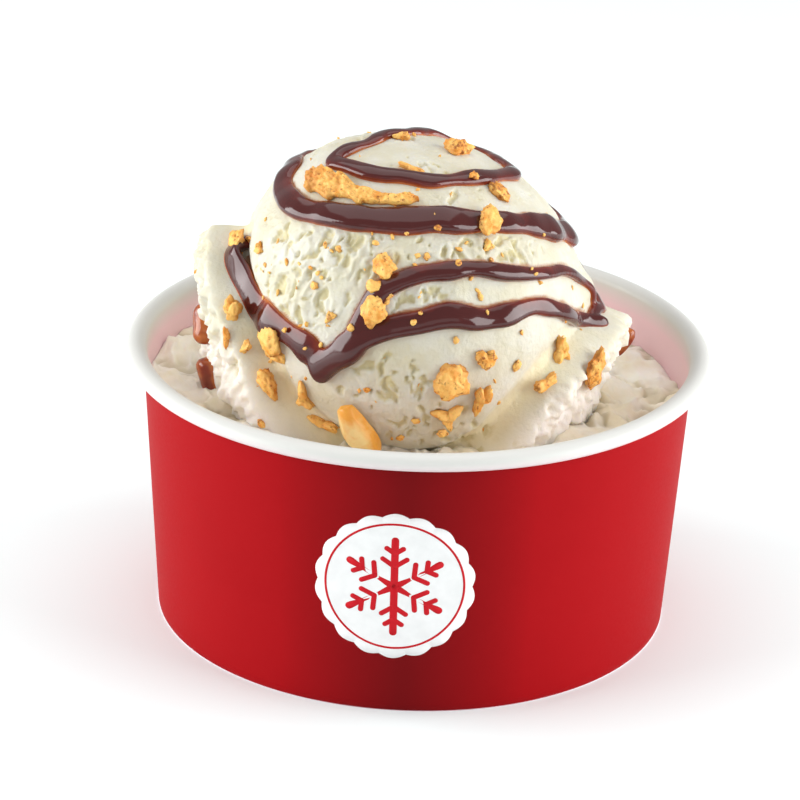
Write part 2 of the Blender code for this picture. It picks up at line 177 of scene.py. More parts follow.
def axes_at(bearing: float, elevation: float, turn: float) -> tuple[Array, Array, Array]:
    """Give the axes of a piece that lies on the scoop.

    Args:
        bearing: Where it lies.
        elevation: Where it lies.
        turn: How far its long axis is turned from level.

    Returns:
        The way out of the scoop, the long axis and the one across it.
    """
    way = direction(np.array(bearing), np.array(elevation))
    east = unit(np.cross([0, 0, 1], way))
    north = np.cross(way, east)
    spin = math.radians(turn)
    along = east * math.cos(spin) + north * math.sin(spin)
    return way, along, np.cross(way, along)


def ball_net(level: int) -> tuple[Array, Faces]:
    """Give a round net of triangles.

    Args:
        level: How often it is divided.

    Returns:
        Unit vectors and faces.
    """
    shape = bmesh.new()
    bmesh.ops.create_icosphere(shape, subdivisions=level, radius=1.0)
    ways = np.array([vert.co[:] for vert in shape.verts])
    faces = [tuple(vert.index for vert in face.verts) for face in shape.faces]
    shape.free()
    return ways, faces


def cut_facets(ways: Array, size: Array, seed: int, cuts: int, near: float, far: float) -> Array:
    """Cut flat facets off a lump.

    Args:
        ways: Unit vectors to its points.
        size: How far each point is from its middle.
        seed: Picks where the cuts are.
        cuts: How many there are.
        near: The deepest cut's distance from the middle.
        far: The shallowest cut's.

    Returns:
        The distances after the cuts.
    """
    draw = np.random.default_rng(seed)
    for facing in unit(draw.normal(size=(cuts, 3))):
        toward = ways @ facing
        cut = draw.uniform(near, far) / np.maximum(toward, 1e-3)
        size = np.where(toward > 0.15, np.minimum(size, cut), size)
    return size


def ring_faces(count: int, around: int, start: int = 0, closed: bool = False) -> Faces:
    """Join rings of points into a skin.

    Args:
        count: How many rings.
        around: Points in each.
        start: The first point's index.
        closed: Whether the last ring joins the first.

    Returns:
        The faces.
    """
    faces = []
    for i in range(count if closed else count - 1):
        one, other = start + i * around, start + (i + 1) % count * around
        for k in range(around):
            m = (k + 1) % around
            faces.append((one + k, one + m, other + m, other + k))
    return faces


def solid_object(name: str, points: Array, faces: Faces) -> Piece:
    """Make an object in metres from points in millimetres.

    Args:
        name: The object's name.
        points: The vertices.
        faces: Indices of each face's vertices.

    Returns:
        The smooth-shaded object, linked to the scene.
    """
    mesh = bpy.data.meshes.new(name)
    mesh.from_pydata((np.asarray(points) * MM).tolist(), [], faces)
    mesh.update()
    mesh.shade_smooth()
    made = bpy.data.objects.new(name, mesh)
    bpy.context.scene.collection.objects.link(made)
    return made


def paint(thing: Piece, name: str, values: Array) -> None:
    """Store one number for each vertex under a name that materials read.

    Args:
        thing: The object.
        name: The attribute's name.
        values: One number for each vertex.
    """
    layer = thing.data.attributes.new(name, "FLOAT", "POINT")
    layer.data.foreach_set("value", np.asarray(values, dtype=np.float32).ravel())


def outward(thing: Piece) -> None:
    """Merge doubles and turn every face outward.

    Args:
        thing: An object whose mesh is closed.
    """
    shape = bmesh.new()
    shape.from_mesh(thing.data)
    bmesh.ops.remove_doubles(shape, verts=shape.verts, dist=1e-6)
    bmesh.ops.recalc_face_normals(shape, faces=shape.faces)
    shape.to_mesh(thing.data)
    shape.free()
    thing.data.shade_smooth()


def freeze(thing: Piece) -> None:
    """Replace an object's mesh with its evaluated one and drop its modifiers.

    Args:
        thing: An object with live modifiers.
    """
    bpy.context.view_layer.update()
    seen = thing.evaluated_get(bpy.context.evaluated_depsgraph_get())
    mesh = bpy.data.meshes.new_from_object(seen)
    thing.modifiers.clear()
    thing.data = mesh


def settle(thing: Piece, made: Finish, slot: str, *nodes: str) -> None:
    """Dress a finished piece, tie it to the cup and hide any solids that it replaces.

    Args:
        thing: The piece.
        made: Its material.
        slot: Not used.
        nodes: The solids that it replaces.
    """
    thing.data.materials.clear()
    thing.data.materials.append(made)
    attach(thing, BODY)
    if nodes:
        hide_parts(*nodes)
    log.info("%s: %d faces", thing.name, len(thing.data.polygons))


class NodeBoard:
    """A node tree, with short calls that add and join its nodes."""

    def __init__(self, tree: bpy.types.NodeTree) -> None:
        """Work on a tree.

        Args:
            tree: The tree.
        """
        self.tree = tree

    def add(self, kind: str, feeds: dict | None = None, **settings: object) -> bpy.types.Node:
        """Add a node.

        Args:
            kind: The node's type.
            feeds: What goes into its inputs, by name or number.
            settings: Its properties.

        Returns:
            The node.
        """
        node = self.tree.nodes.new(kind)
        for key, value in settings.items():
            setattr(node, key, value)
        for key, value in (feeds or {}).items():
            self.feed(node.inputs[key], value)
        return node

    def feed(self, socket: bpy.types.NodeSocket, value: object) -> None:
        """Link an output into a socket, or set the socket's own value.

        Args:
            socket: The input.
            value: An output socket or a plain value.
        """
        if isinstance(value, bpy.types.NodeSocket):
            self.tree.links.new(value, socket)
        else:
            socket.default_value = value


class NodeSheet(NodeBoard):
    """A material's node tree: one Principled shader and what feeds it."""

    def __init__(self, name: str) -> None:
        """Start a material with one Principled shader.

        Args:
            name: The material's name.
        """
        self.material = bpy.data.materials.new(name)
        self.material.use_nodes = True
        super().__init__(self.material.node_tree)
        self.shader = self.tree.nodes["Principled BSDF"]
        self.place = self.add("ShaderNodeTexCoord").outputs["Object"]

    def set(self, **values: object) -> None:
        """Set sockets of the shader, named with underscores for spaces.

        Args:
            values: Plain values or output sockets.
        """
        for key, value in values.items():
            self.feed(self.shader.inputs[key.replace("_", " ")], value)

    def grain(self, size: float, detail: float = 3.0, rough: float = 0.55) -> object:
        """Noise with grains of one size.

        Args:
            size: A grain in millimetres.
            detail: How many finer layers are added.
            rough: How strong the finer layers are.

        Returns:
            The noise, in 0 to 1.
        """
        feeds = {"Vector": self.place, "Scale": 1 / (size * MM), "Detail": detail}
        return self.add("ShaderNodeTexNoise", feeds | {"Roughness": rough}).outputs["Fac"]

    def flecks(self, size: float) -> object:
        """Cells of one size, for grains that stand apart.

        Args:
            size: The spacing in millimetres.

        Returns:
            The distance to the nearest cell's centre.
        """
        feeds = {"Vector": self.place, "Scale": 1 / (size * MM)}
        return self.add("ShaderNodeTexVoronoi", feeds).outputs["Distance"]

    def painted(self, name: str) -> object:
        """Read a number stored on the mesh.

        Args:
            name: The attribute's name.

        Returns:
            The number's socket.
        """
        return self.add("ShaderNodeAttribute", attribute_name=name).outputs["Fac"]

    def along(self, axis: str) -> object:
        """Give the place along one axis, in metres.

        Args:
            axis: X, Y or Z.

        Returns:
            The number's socket.
        """
        return self.add("ShaderNodeSeparateXYZ", {0: self.place}).outputs[axis]

    def ramp(self, value: object, stops: list[tuple[float, Colour]]) -> object:
        """Turn a number into a colour.

        Args:
            value: The number's socket.
            stops: Places in 0 to 1 and the colour at each.

        Returns:
            The colour's socket.
        """
        node = self.add("ShaderNodeValToRGB", {0: value})
        line = node.color_ramp
        while len(line.elements) < len(stops):
            line.elements.new(0.5)
        for element, (at, colour) in zip(line.elements, stops):
            element.position = at
            element.color = colour
        return node.outputs["Color"]

    def spread(
        self, value: object, low: float, high: float, start: float = 0.0, end: float = 1.0
    ) -> object:
        """Map a range of numbers onto another one, clamped.

        Args:
            value: The number's socket.
            low: What becomes start.
            high: What becomes end.
            start: The first result.
            end: The last result.

        Returns:
            The mapped number's socket.
        """
        feeds = {"Value": value, "From Min": low, "From Max": high, "To Min": start, "To Max": end}
        return self.add("ShaderNodeMapRange", feeds).outputs["Result"]

    def blend(self, part: object, first: object, second: object) -> object:
        """Mix two colours.

        Args:
            part: How much of the second.
            first: A colour or its socket.
            second: A colour or its socket.

        Returns:
            The mixed colour's socket.
        """
        feeds = {0: part, 6: first, 7: second}
        return self.add("ShaderNodeMix", feeds, data_type="RGBA").outputs[2]

    def work(self, operation: str, first: object, second: object) -> object:
        """Combine two numbers.

        Args:
            operation: The sum to do.
            first: A number or its socket.
            second: A number or its socket.

        Returns:
            The result's socket.
        """
        return self.add("ShaderNodeMath", {0: first, 1: second}, operation=operation).outputs[0]

    def bump(self, value: object, depth: float, before: object = None) -> object:
        """Give the shader a fine relief.

        Args:
            value: The relief, in 0 to 1.
            depth: Its height in millimetres.
            before: An earlier relief's output that this one adds to.

        Returns:
            The bumped normal's socket.
        """
        feeds = {"Distance": depth * MM, "Height": value}
        if before is not None:
            feeds["Normal"] = before
        normal = self.add("ShaderNodeBump", feeds).outputs[0]
        self.set(Normal=normal)
        return normal


@dataclass(frozen=True)
class RedPrintAndShade:
    """Satin coated board, printed red, with a fine paper tooth, and painted shade that makes it a
    deeper red behind the badge.
    """

    red: Colour = (0.355, 0.0040, 0.0070, 1)
    worn: Colour = (0.345, 0.0037, 0.0066, 1)
    # Painted shade: deep is a darker red blended in round the front, centred on the badge and
    # fading out to the sides.
    deep: Colour = (0.165, 0.0034, 0.0050, 1)
    shade_bearing: float = -1.0
    shade_half: float = 27.0
    shade_fade: float = 0.95

    def make(self) -> Finish:
        """Build the material."""
        sheet = NodeSheet("red_print_and_shade")
        tone = sheet.spread(sheet.grain(14, 2), 0.4, 0.6)
        # Painted shade: the blend toward deep, strongest at the bearing of the badge.
        ahead = sheet.work("MULTIPLY", sheet.along("Y"), -1.0)
        bearing = sheet.work("ARCTAN2", sheet.along("X"), ahead)
        away = sheet.work("SUBTRACT", bearing, math.radians(self.shade_bearing))
        away = sheet.work("ABSOLUTE", away, 0.0)
        near = sheet.spread(away, math.radians(self.shade_half), math.radians(1.0))
        shade_share = sheet.work("POWER", near, self.shade_fade)
        body = sheet.blend(shade_share, sheet.blend(tone, self.red, self.worn), self.deep)
        sheet.set(Base_Color=body)
        sheet.set(Roughness=sheet.spread(sheet.grain(0.5), 0.3, 0.7, 0.52, 0.6))
        sheet.set(Specular_IOR_Level=0.05)
        sheet.bump(sheet.grain(0.35, 4), 0.006)
        return sheet.material


@dataclass(frozen=True)
class WhiteBoard:
    """White coated board, with a painted pink glow deep inside the cup that stands in for red light
    coming through the red print round it.
    """

    white: Colour = (0.67, 0.67, 0.64, 1)
    shade: Colour = (0.64, 0.64, 0.61, 1)
    # Painted light: the pink glow for red light through the red print, low inside the cup.
    glow_pink: Colour = (0.89, 0.62, 0.68, 1)
    rim_height: float = 43.6
    glow_height: float = 40.4

    def make(self) -> Finish:
        """Build the material."""
        sheet = NodeSheet("white_board")
        low = sheet.spread(sheet.along("Z"), self.rim_height * MM, self.glow_height * MM)
        tone = sheet.spread(sheet.grain(6, 2), 0.35, 0.65, 0.0, 0.06)
        clean = sheet.blend(tone, self.white, self.shade)
        # Painted light: below the rim the board turns to the pink glow.
        sheet.set(Base_Color=sheet.blend(low, clean, self.glow_pink))
        sheet.set(Roughness=sheet.spread(sheet.grain(0.6), 0.3, 0.7, 0.38, 0.48))
        sheet.set(Specular_IOR_Level=0.4, Coat_Weight=0.1, Coat_Roughness=0.3)
        sheet.bump(sheet.grain(0.4, 4), 0.005)
        return sheet.material


@dataclass(frozen=True)
class BadgeInk:
    """A printed colour of the badge, with the board's tooth under it."""

    name: str
    colour: Colour
    wear: float = 0.94

    def make(self) -> Finish:
        """Build the material."""
        sheet = NodeSheet(self.name)
        worn = tuple(part * self.wear for part in self.colour[:3]) + (1,)
        tone = sheet.spread(sheet.grain(3, 3), 0.4, 0.65)
        sheet.set(Base_Color=sheet.blend(tone, self.colour, worn))
        sheet.set(Roughness=0.5, Specular_IOR_Level=0.1)
        sheet.bump(sheet.grain(0.35, 4), 0.005)
        return sheet.material


@dataclass(frozen=True)
class CreamGelato:
    """Cream-coloured gelato with whiter patches; painted light lifts its collar, most toward the
    foot, and its yellow groove, and painted shade tints its pits and the collar's hollows a grainy,
    darker yellow.
    """

    cream: Colour = (0.65, 0.61, 0.465, 1)
    white: Colour = (0.69, 0.67, 0.575, 1)
    # Painted light: fold lightens the collar, most toward its foot, standing in for light scattered
    # through the gelato.
    collar_glow: Colour = (0.95, 0.92, 0.84, 1)
    # Painted shade: pit tints the pits and the collar's hollows a darker yellow.
    pit: Colour = (0.64, 0.56, 0.29, 1)
    # groove is the groove's yellow, partly painted light: kept light to stand in for light
    # scattered into the groove.
    groove: Colour = (0.92, 0.83, 0.53, 1)
    stain: Colour = (0.42, 0.15, 0.04, 1)
    groove_share: float = 0.75
    pit_shade_share: float = 0.8

    def make(self) -> Finish:
        """Build the material."""
        sheet = NodeSheet("cream_gelato")
        patch = sheet.spread(sheet.grain(7, 3), 0.38, 0.62)
        body = sheet.blend(patch, self.cream, self.white)
        # Painted light on the collar, growing toward its foot.
        body = sheet.blend(sheet.painted("collar"), body, self.collar_glow)
        # The groove's yellow, partly painted light that lifts its shade.
        deep = sheet.work("MULTIPLY", sheet.painted("groove"), self.groove_share)
        body = sheet.blend(deep, body, self.groove)
        # Painted shade in the pits and the collar's hollows, broken up by a grain.
        shade_grain = sheet.spread(sheet.grain(0.9, 3, 0.6), 0.35, 0.6)
        pit_shade = sheet.work("MULTIPLY", sheet.painted("pit"), sheet.work("ADD", shade_grain, 0.35))
        body = sheet.blend(sheet.work("MINIMUM", pit_shade, self.pit_shade_share), body, self.pit)
        body = sheet.blend(sheet.painted("stain"), body, self.stain)
        sheet.set(Base_Color=body)
        sheet.set(Roughness=sheet.spread(sheet.grain(0.8), 0.35, 0.7, 0.36, 0.56))
        sheet.set(Specular_IOR_Level=0.4, Subsurface_Weight=0.35, Subsurface_Scale=0.002)
        sheet.shader.inputs["Subsurface Radius"].default_value = (1.0, 0.85, 0.55)
        rough = sheet.bump(sheet.grain(0.5, 4, 0.7), 0.13)
        sheet.bump(sheet.flecks(0.75), 0.05, rough)
        return sheet.material


@dataclass(frozen=True)
class BeigeGelato:
    """Beige gelato, churned, with painted shade greying its hollows."""

    beige: Colour = (0.92, 0.83, 0.64, 1)
    pale: Colour = (0.98, 0.93, 0.84, 1)
    # Painted shade: the grey for the creases, the moat round the scoop, the low places and the part
    # under the scoop.
    hollow_shade: Colour = (0.54, 0.46, 0.30, 1)

    def make(self) -> Finish:
        """Build the material."""
        sheet = NodeSheet("beige_gelato")
        body = sheet.blend(sheet.spread(sheet.grain(8, 3), 0.38, 0.62), self.beige, self.pale)
        body = sheet.blend(sheet.painted("hollow_shade"), body, self.hollow_shade)
        sheet.set(Base_Color=body)
        sheet.set(Roughness=sheet.spread(sheet.grain(1.2), 0.35, 0.7, 0.42, 0.6))
        sheet.set(Specular_IOR_Level=0.35, Subsurface_Weight=0.25, Subsurface_Scale=0.0018)
        sheet.shader.inputs["Subsurface Radius"].default_value = (1.0, 0.8, 0.6)
        rough = sheet.bump(sheet.grain(0.7, 4, 0.6), 0.1)
        sheet.bump(sheet.grain(2.6, 2), 0.2, rough)
        return sheet.material


@dataclass(frozen=True)
class DarkSauce:
    """Thick glossy dark sauce, red-brown to orange where it is thin."""

    edge: Colour = (0.52, 0.15, 0.03, 1)
    thin: Colour = (0.23, 0.034, 0.012, 1)
    brown: Colour = (0.125, 0.015, 0.011, 1)
    deep: Colour = (0.066, 0.010, 0.009, 1)

    def make(self) -> Finish:
        """Build the material."""
        sheet = NodeSheet("dark_sauce")
        wave = sheet.spread(sheet.grain(2.5, 2), 0.3, 0.7, -0.12, 0.12)
        depth = sheet.work("ADD", sheet.painted("depth"), wave)
        stops = [(0.0, self.edge), (0.22, self.thin), (0.55, self.brown), (0.85, self.deep)]
        sheet.set(Base_Color=sheet.ramp(depth, stops))
        sheet.set(Roughness=0.12, Specular_IOR_Level=0.4, IOR=1.45)
        sheet.set(Coat_Weight=0.35, Coat_Roughness=0.04)
        sheet.bump(sheet.grain(3.2, 2), 0.05)
        return sheet.material


class Roast(Enum):
    """How dark a toasted piece is: the amount of brown in its finish."""

    PALE = 0.0
    GOLDEN = 0.35
    DARK = 0.8


@dataclass(frozen=True)
class Toasted:
    """A toasted, crumbly piece: golden, with orange-brown patches and edges."""

    name: str
    roast: Roast
    gold: Colour = (0.95, 0.56, 0.15, 1)
    orange: Colour = (0.82, 0.34, 0.05, 1)
    brown: Colour = (0.34, 0.10, 0.016, 1)
    edge: Colour = (0.56, 0.17, 0.022, 1)
    edge_share: float = 0.5

    def make(self) -> Finish:
        """Build the material."""
        sheet = NodeSheet(self.name)
        shift = 0.12 * self.roast.value
        patch = sheet.spread(sheet.grain(1.6, 4, 0.6), 0.50 - shift, 0.68 - shift)
        body = sheet.blend(patch, self.gold, self.orange)
        burnt = sheet.spread(sheet.grain(0.9, 4, 0.65), 0.60 - shift, 0.74 - shift)
        body = sheet.blend(burnt, body, self.brown)
        rind = sheet.work("MULTIPLY", sheet.painted("browned"), self.edge_share)
        body = sheet.blend(rind, body, self.edge)
        sheet.set(Base_Color=body)
        sheet.set(Roughness=sheet.spread(sheet.grain(0.6), 0.35, 0.7, 0.38, 0.62))
        sheet.set(Specular_IOR_Level=0.35, Subsurface_Weight=0.12, Subsurface_Scale=0.001)
        rough = sheet.bump(sheet.grain(0.4, 4, 0.65), 0.12)
        sheet.bump(sheet.flecks(0.55), 0.06, rough)
        return sheet.material


@dataclass(frozen=True)
class NutSkin:
    """A roasted nut: smooth pale gold, orange along its edges and at its tip."""

    gold: Colour = (0.93, 0.74, 0.34, 1)
    orange: Colour = (0.80, 0.36, 0.05, 1)

    def make(self) -> Finish:
        """Build the material."""
        sheet = NodeSheet("nut_skin")
        patch = sheet.spread(sheet.grain(2.4, 3), 0.45, 0.65, 0.0, 0.4)
        edge = sheet.work("MINIMUM", sheet.work("ADD", sheet.painted("rind"), patch), 1.0)
        sheet.set(Base_Color=sheet.blend(edge, self.gold, self.orange))
        sheet.set(Roughness=sheet.spread(sheet.grain(0.8), 0.35, 0.7, 0.34, 0.5))
        sheet.set(Specular_IOR_Level=0.4, Subsurface_Weight=0.15, Subsurface_Scale=0.0015)
        rough = sheet.bump(sheet.grain(0.5, 3), 0.05)
        sheet.bump(sheet.grain(1.8, 2), 0.15, rough)
        return sheet.material


@dataclass(frozen=True)
class ScoopForm:
    """The scoop's base form: a squarish ball that leans left, with a torn collar round it."""

    centre: tuple[float, float, float] = (-1.5, 0.0, 51.5)
    wide: float = 27.3
    tall: float = 25.2
    power: float = 2.12
    lean: float = 2.4
    seat: float = 33.0
    # The collar's crest, as (bearing, elevation).
    crest: Marks = (
        (-180, -6), (-150, 0), (-120, 6), (-102, 12), (-90, 23), (-82, 20), (-72, 12), (-63, 7),
        (-57, 0), (-50, -11), (-42, -22), (-32, -31), (-15, -42), (8, -44), (22, -38), (30, -30),
        (38, -20), (48, -10), (58, -5), (70, -2), (82, 0), (95, -1), (120, -8), (150, -8),
    )
    collar: float = 32.0
    flare: float = 1.2
    # Humps on the collar and one on the ball: bearing, elevation, half widths, height.
    bulges: tuple[tuple[float, ...], ...] = (
        (-92, 13, 24, 12, 1.9), (-104, -20, 22, 9, 1.6), (90, -6, 16, 6, 2.0),
        (80, -18, 25, 5, -0.8), (58, -24, 26, 8, -1.3),
    )
    bridge: tuple[float, ...] = (88, 3, 13, 8, 2.0)
    groove_depth: float = 0.7
    groove_above: float = 3.5
    groove_half: float = 2.5
    step_below: float = 4.0
    step_above: float = 1.0

    def crest_at(self, bearing: Array) -> Array:
        """Give the collar's crest on a smooth closed curve through its points.

        Args:
            bearing: Bearings.

        Returns:
            The crest's elevations.
        """
        marks, rises = (np.array(part, dtype=float) for part in zip(*self.crest))
        bearing = turn_apart(np.asarray(bearing, dtype=float), 0.0)
        here = np.clip(np.searchsorted(marks, bearing, side="right") - 1, 0, len(marks) - 1)
        ahead = (np.roll(marks, -1) - marks) % 360
        slope = (np.roll(rises, -1) - np.roll(rises, 1)) / (ahead + np.roll(ahead, 1))
        span = ahead[here]
        t = (bearing - marks[here]) / span
        rise = t * t * (3 - 2 * t)
        lead = t * (t - 1) ** 2 * span * slope[here]
        trail = t * t * (t - 1) * span * np.roll(slope, -1)[here]
        return rises[here] + (np.roll(rises, -1)[here] - rises[here]) * rise + lead + trail

    def below_crest(self, bearing: Array, elevation: Array) -> Array:
        """Give how far below the crest a direction is, counted across a sloping crest.

        Args:
            bearing: Bearings.
            elevation: Elevations.

        Returns:
            Degrees below the crest, negative above it.
        """
        slope = (self.crest_at(bearing + 2) - self.crest_at(bearing - 2)) / 4
        return (self.crest_at(bearing) - elevation) / np.sqrt(1 + slope * slope)

    def bulge(self, bearing: Array, elevation: Array, marks: tuple[float, ...]) -> Array:
        """Give the height of one hump.

        Args:
            bearing: Bearings.
            elevation: Elevations.
            marks: The hump's bearing, elevation, half widths and height.

        Returns:
            Millimetres.
        """
        at, up, half_turn, half_rise, height = marks
        half = (half_turn, half_rise)
        return height * hump(turn_apart(bearing, at), elevation - up, half)

    def radius(self, ways: Array) -> Array:
        """Give how far the surface is from the centre.

        Args:
            ways: Unit vectors.

        Returns:
            One distance for each vector.
        """
        bearing, elevation = angles_of(ways)
        below = self.below_crest(bearing, elevation)
        flat = np.hypot(ways[..., 0], ways[..., 1])
        ball = (flat / self.wide) ** self.power + (np.abs(ways[..., 2]) / self.tall) ** self.power
        ball = ball ** (-1 / self.power) - self.lean * ways[..., 0] * np.maximum(ways[..., 2], 0)
        ball = ball + self.bulge(bearing, elevation, self.bridge)
        collar = self.collar + self.flare * smoothstep(8, 24, -elevation)
        for marks in self.bulges:
            collar = collar + self.bulge(bearing, elevation, marks)
        on_collar = smoothstep(-self.step_above, self.step_below, below)
        off_groove = (below + self.groove_above) / self.groove_half
        groove = self.groove_depth * np.exp(-(off_groove**2))
        bumps = lumps(ways * self.wide, 5.0) * (0.25 + 0.45 * on_collar)
        return ball + (collar - ball) * on_collar - groove + bumps

    def point(self, ways: Array, proud: Array | float = 0.0) -> Array:
        """Give the surface's points along unit vectors, or points proud of it.

        Args:
            ways: Unit vectors.
            proud: How far outside the surface.

        Returns:
            Points in millimetres.
        """
        return np.array(self.centre) + ways * (self.radius(ways) + proud)[..., None]

    def foot(self, bearing: Array, height: Array, clear: float = 0.0) -> Array:
        """Give the points where the surface comes down to a height.

        Args:
            bearing: Bearings.
            height: The heights.
            clear: How far outside the surface.

        Returns:
            Points in millimetres.
        """
        low, high = np.full_like(bearing, -70.0), np.full_like(bearing, -5.0)
        for _ in range(18):
            middle = (low + high) / 2
            above = self.point(direction(bearing, middle))[..., 2] > height
            high, low = np.where(above, middle, high), np.where(above, low, middle)
        return self.point(direction(bearing, high), clear)


@dataclass(frozen=True)
class Band:
    """One band of sauce: its route as (bearing, elevation), its widths and its height."""

    route: Marks
    width: float
    end_width: float
    closed: bool = False
    proud: float = 1.15

    def trace(self, form: ScoopForm, step: float) -> tuple[Array, Array]:
        """Follow the band's middle at even steps.

        Args:
            form: The scoop that it lies on.
            step: The step in millimetres.

        Returns:
            Unit vectors along the band, and how far along each is, in 0 to 1.
        """
        marks = np.array(self.route, dtype=float)
        ways = direction(marks[:, 0], marks[:, 1])
        count = len(ways)
        found = []
        for i in range(count if self.closed else count - 1):
            picks = np.arange(i - 1, i + 3)
            picks = picks % count if self.closed else picks.clip(0, count - 1)
            a, b, c, d = ways[picks]
            steps = max(1, round(float(np.linalg.norm(c - b)) * form.wide / step))
            t = (np.arange(steps) / steps)[:, None]
            curve = 2 * b + (c - a) * t + (2 * a - 5 * b + 4 * c - d) * t**2
            found.append(unit(curve + (3 * b - a - 3 * c + d) * t**3))
        if not self.closed:
            found.append(ways[-1:])
        line = np.concatenate(found)
        return line, np.arange(len(line)) / len(line)


@dataclass
class SaucePour:
    """The sauce: bands poured round the scoop, which run together where they meet."""

    form: ScoopForm
    sunk: float = 1.2
    voxel: float = 0.27
    step: float = 0.5
    full_depth: float = 1.15
    # Painted light: the side drops are painted as thin sauce, a lighter red, to stand in for light
    # shining through them.
    drop_glow_share: float = 0.82
    squareness: float = 0.62
    bands: tuple[Band, ...] = (
        Band(((-83, 68), (-72, 61), (-53, 63), (-33, 64), (-12, 66), (9, 65), (28, 65), (52, 64),
              (76, 60), (100, 53), (118, 54), (132, 52), (146, 50), (158, 53), (170, 62),
              (-176, 71), (-155, 76), (-125, 76), (-100, 75)),
             3.0, 3.0, proud=1.0, closed=True),
        Band(((-82, 43), (-67, 42), (-54, 42), (-40, 44), (-29, 45), (-17, 46), (-4, 47), (10, 48),
              (25, 47), (40, 45), (56, 41), (75, 34), (93, 25), (108, 22), (128, 26), (150, 34),
              (178, 38), (-155, 38), (-135, 39), (-120, 42), (-108, 45), (-96, 46)),
             4.2, 4.2, closed=True),
        Band(((-82, 23), (-81.5, 20), (-79.3, 17), (-75.5, 14), (-68.8, 10.5), (-58, 6.5),
              (-49, 5), (-42, 3.5), (-35, 1), (-31, -3), (-31, -8)), 6.0, 4.6),
        Band(((-32, -7), (-22, 1), (-15, 8), (-6, 12), (3, 14), (13, 16), (23, 14), (33, 14),
              (46, 14), (59, 9), (67, 4.5), (74, 1), (81, -2)), 5.0, 2.2, proud=1.3),
        Band(((78, 0), (84, 1), (88, 0), (93, 1), (100, 5)), 1.8, 1.8, proud=1.1),
        Band(((-21, 2), (-15, 13), (-11, 22), (-5, 26), (3, 29), (14, 30), (25, 30), (37, 27),
              (50, 24), (60, 22), (67, 20.5), (77, 15), (84, 8), (85, 1)), 3.7, 1.5),
        Band(((100, 5), (112, 11), (132, 17), (155, 20), (180, 21), (-155, 19),
              (-135, 13), (-120, 9), (-106, 10), (-96, 15)), 2.0, 3.6),
        Band(((-85, -1), (-83, -5), (-81, -8), (-81, -12)), 2.8, 4.6, proud=2.1),
        Band(((-79, -15), (-78, -19), (-77, -23), (-77, -26)), 4.6, 2.2, proud=2.3),
        Band(((88, -5), (87, -8), (87, -11), (87, -14)), 2.2, 1.2, proud=1.5),
    )
    lines: list[tuple[Array, Array]] = field(default_factory=list)

    def follow(self) -> None:
        """Trace every band and work out its half width along it."""
        for number, band in enumerate(self.bands):
            ways, along = band.trace(self.form, self.step)
            half = (band.width + (band.end_width - band.width) * along) / 2
            wobble = lumps(ways * self.form.wide, 4.5, 3.1 + number)
            half = half * (1 + 0.3 * wobble)
            if not band.closed:
                steps = np.linalg.norm(np.diff(self.form.point(ways), axis=0), axis=1)
                run = np.concatenate([[0], np.cumsum(steps)])
                edge = np.minimum(run, run[-1] - run)
                part = np.minimum(edge / half.mean(), 1)
                half = half * np.sqrt(np.clip(1 - (1 - part) ** 2, 0.02, 1))
            self.lines.append((ways, half))

    def distances(self, points: Array) -> tuple[Array, Array]:
        """Give how far points are from the nearest band's edge.

        Args:
            points: Points on the scoop.

        Returns:
            Millimetres, negative under a band, and how far uphill of the band's middle.
        """
        ways = np.concatenate([line[0] for line in self.lines])
        halves = np.concatenate([line[1] for line in self.lines])
        tree = kdtree.KDTree(len(ways))
        for i, place in enumerate(self.form.point(ways).tolist()):
            tree.insert(place, i)
        tree.balance()
        found = [tree.find(place) for place in points.tolist()]
        away = np.array([far - halves[i] for _, i, far in found])
        uphill = points[:, 2] - np.array([place[2] for place, _, _ in found])
        return away, uphill

    def sections(self, band: Band, ways: Array, half: Array, seed: float) -> Array:
        """Give the rings of points round one band.

        Args:
            band: The band.
            ways: Unit vectors along its middle.
            half: Its half widths.
            seed: Shifts the pattern of its swellings.

        Returns:
            Points as (station, round, xyz).
        """
        middle = self.form.point(ways)
        if band.closed:
            along = unit(np.roll(middle, -1, axis=0) - np.roll(middle, 1, axis=0))
        else:
            along = unit(np.gradient(middle, axis=0))
        side = unit(np.cross(along, ways))
        up = unit(np.cross(side, along))
        uphill = side[:, 2:3]
        full = (band.width + band.end_width) / 4
        swell = band.proud * (1 + 0.35 * lumps(middle, 5.0, seed))
        swell = swell * np.minimum(half / full, 1.15)
        turn = np.radians(np.arange(0, 360, 20))
        across = np.cos(turn)
        rise = np.where(np.sin(turn) >= 0, np.abs(np.sin(turn)) ** self.squareness, 0.0)
        root = np.where(np.sin(turn) < 0, np.sin(turn), 0.0)
        lift = swell[:, None] * rise * (1 - 0.42 * uphill * across) + self.sunk * root
        reach = side[:, None] * (half[:, None] * across)[..., None]
        return middle[:, None] + reach + up[:, None] * lift[..., None]

    def sweep(self) -> Piece:
        """Sweep every band along its route.

        Returns:
            One object with a closed body for each band.
        """
        points: list[Array] = []
        faces: Faces = []
        start = 0
        for number, (band, (ways, half)) in enumerate(zip(self.bands, self.lines)):
            rings = self.sections(band, ways, half, 7.7 + number)
            count, around = rings.shape[:2]
            points.append(rings.reshape(-1, 3))
            faces += ring_faces(count, around, start, band.closed)
            end = start + count * around
            if not band.closed:
                faces.append(tuple(range(start, start + around))[::-1])
                faces.append(tuple(range(end - around, end)))
            start = end
        thing = solid_object("sauce_bands", np.concatenate(points), faces)
        outward(thing)
        return thing

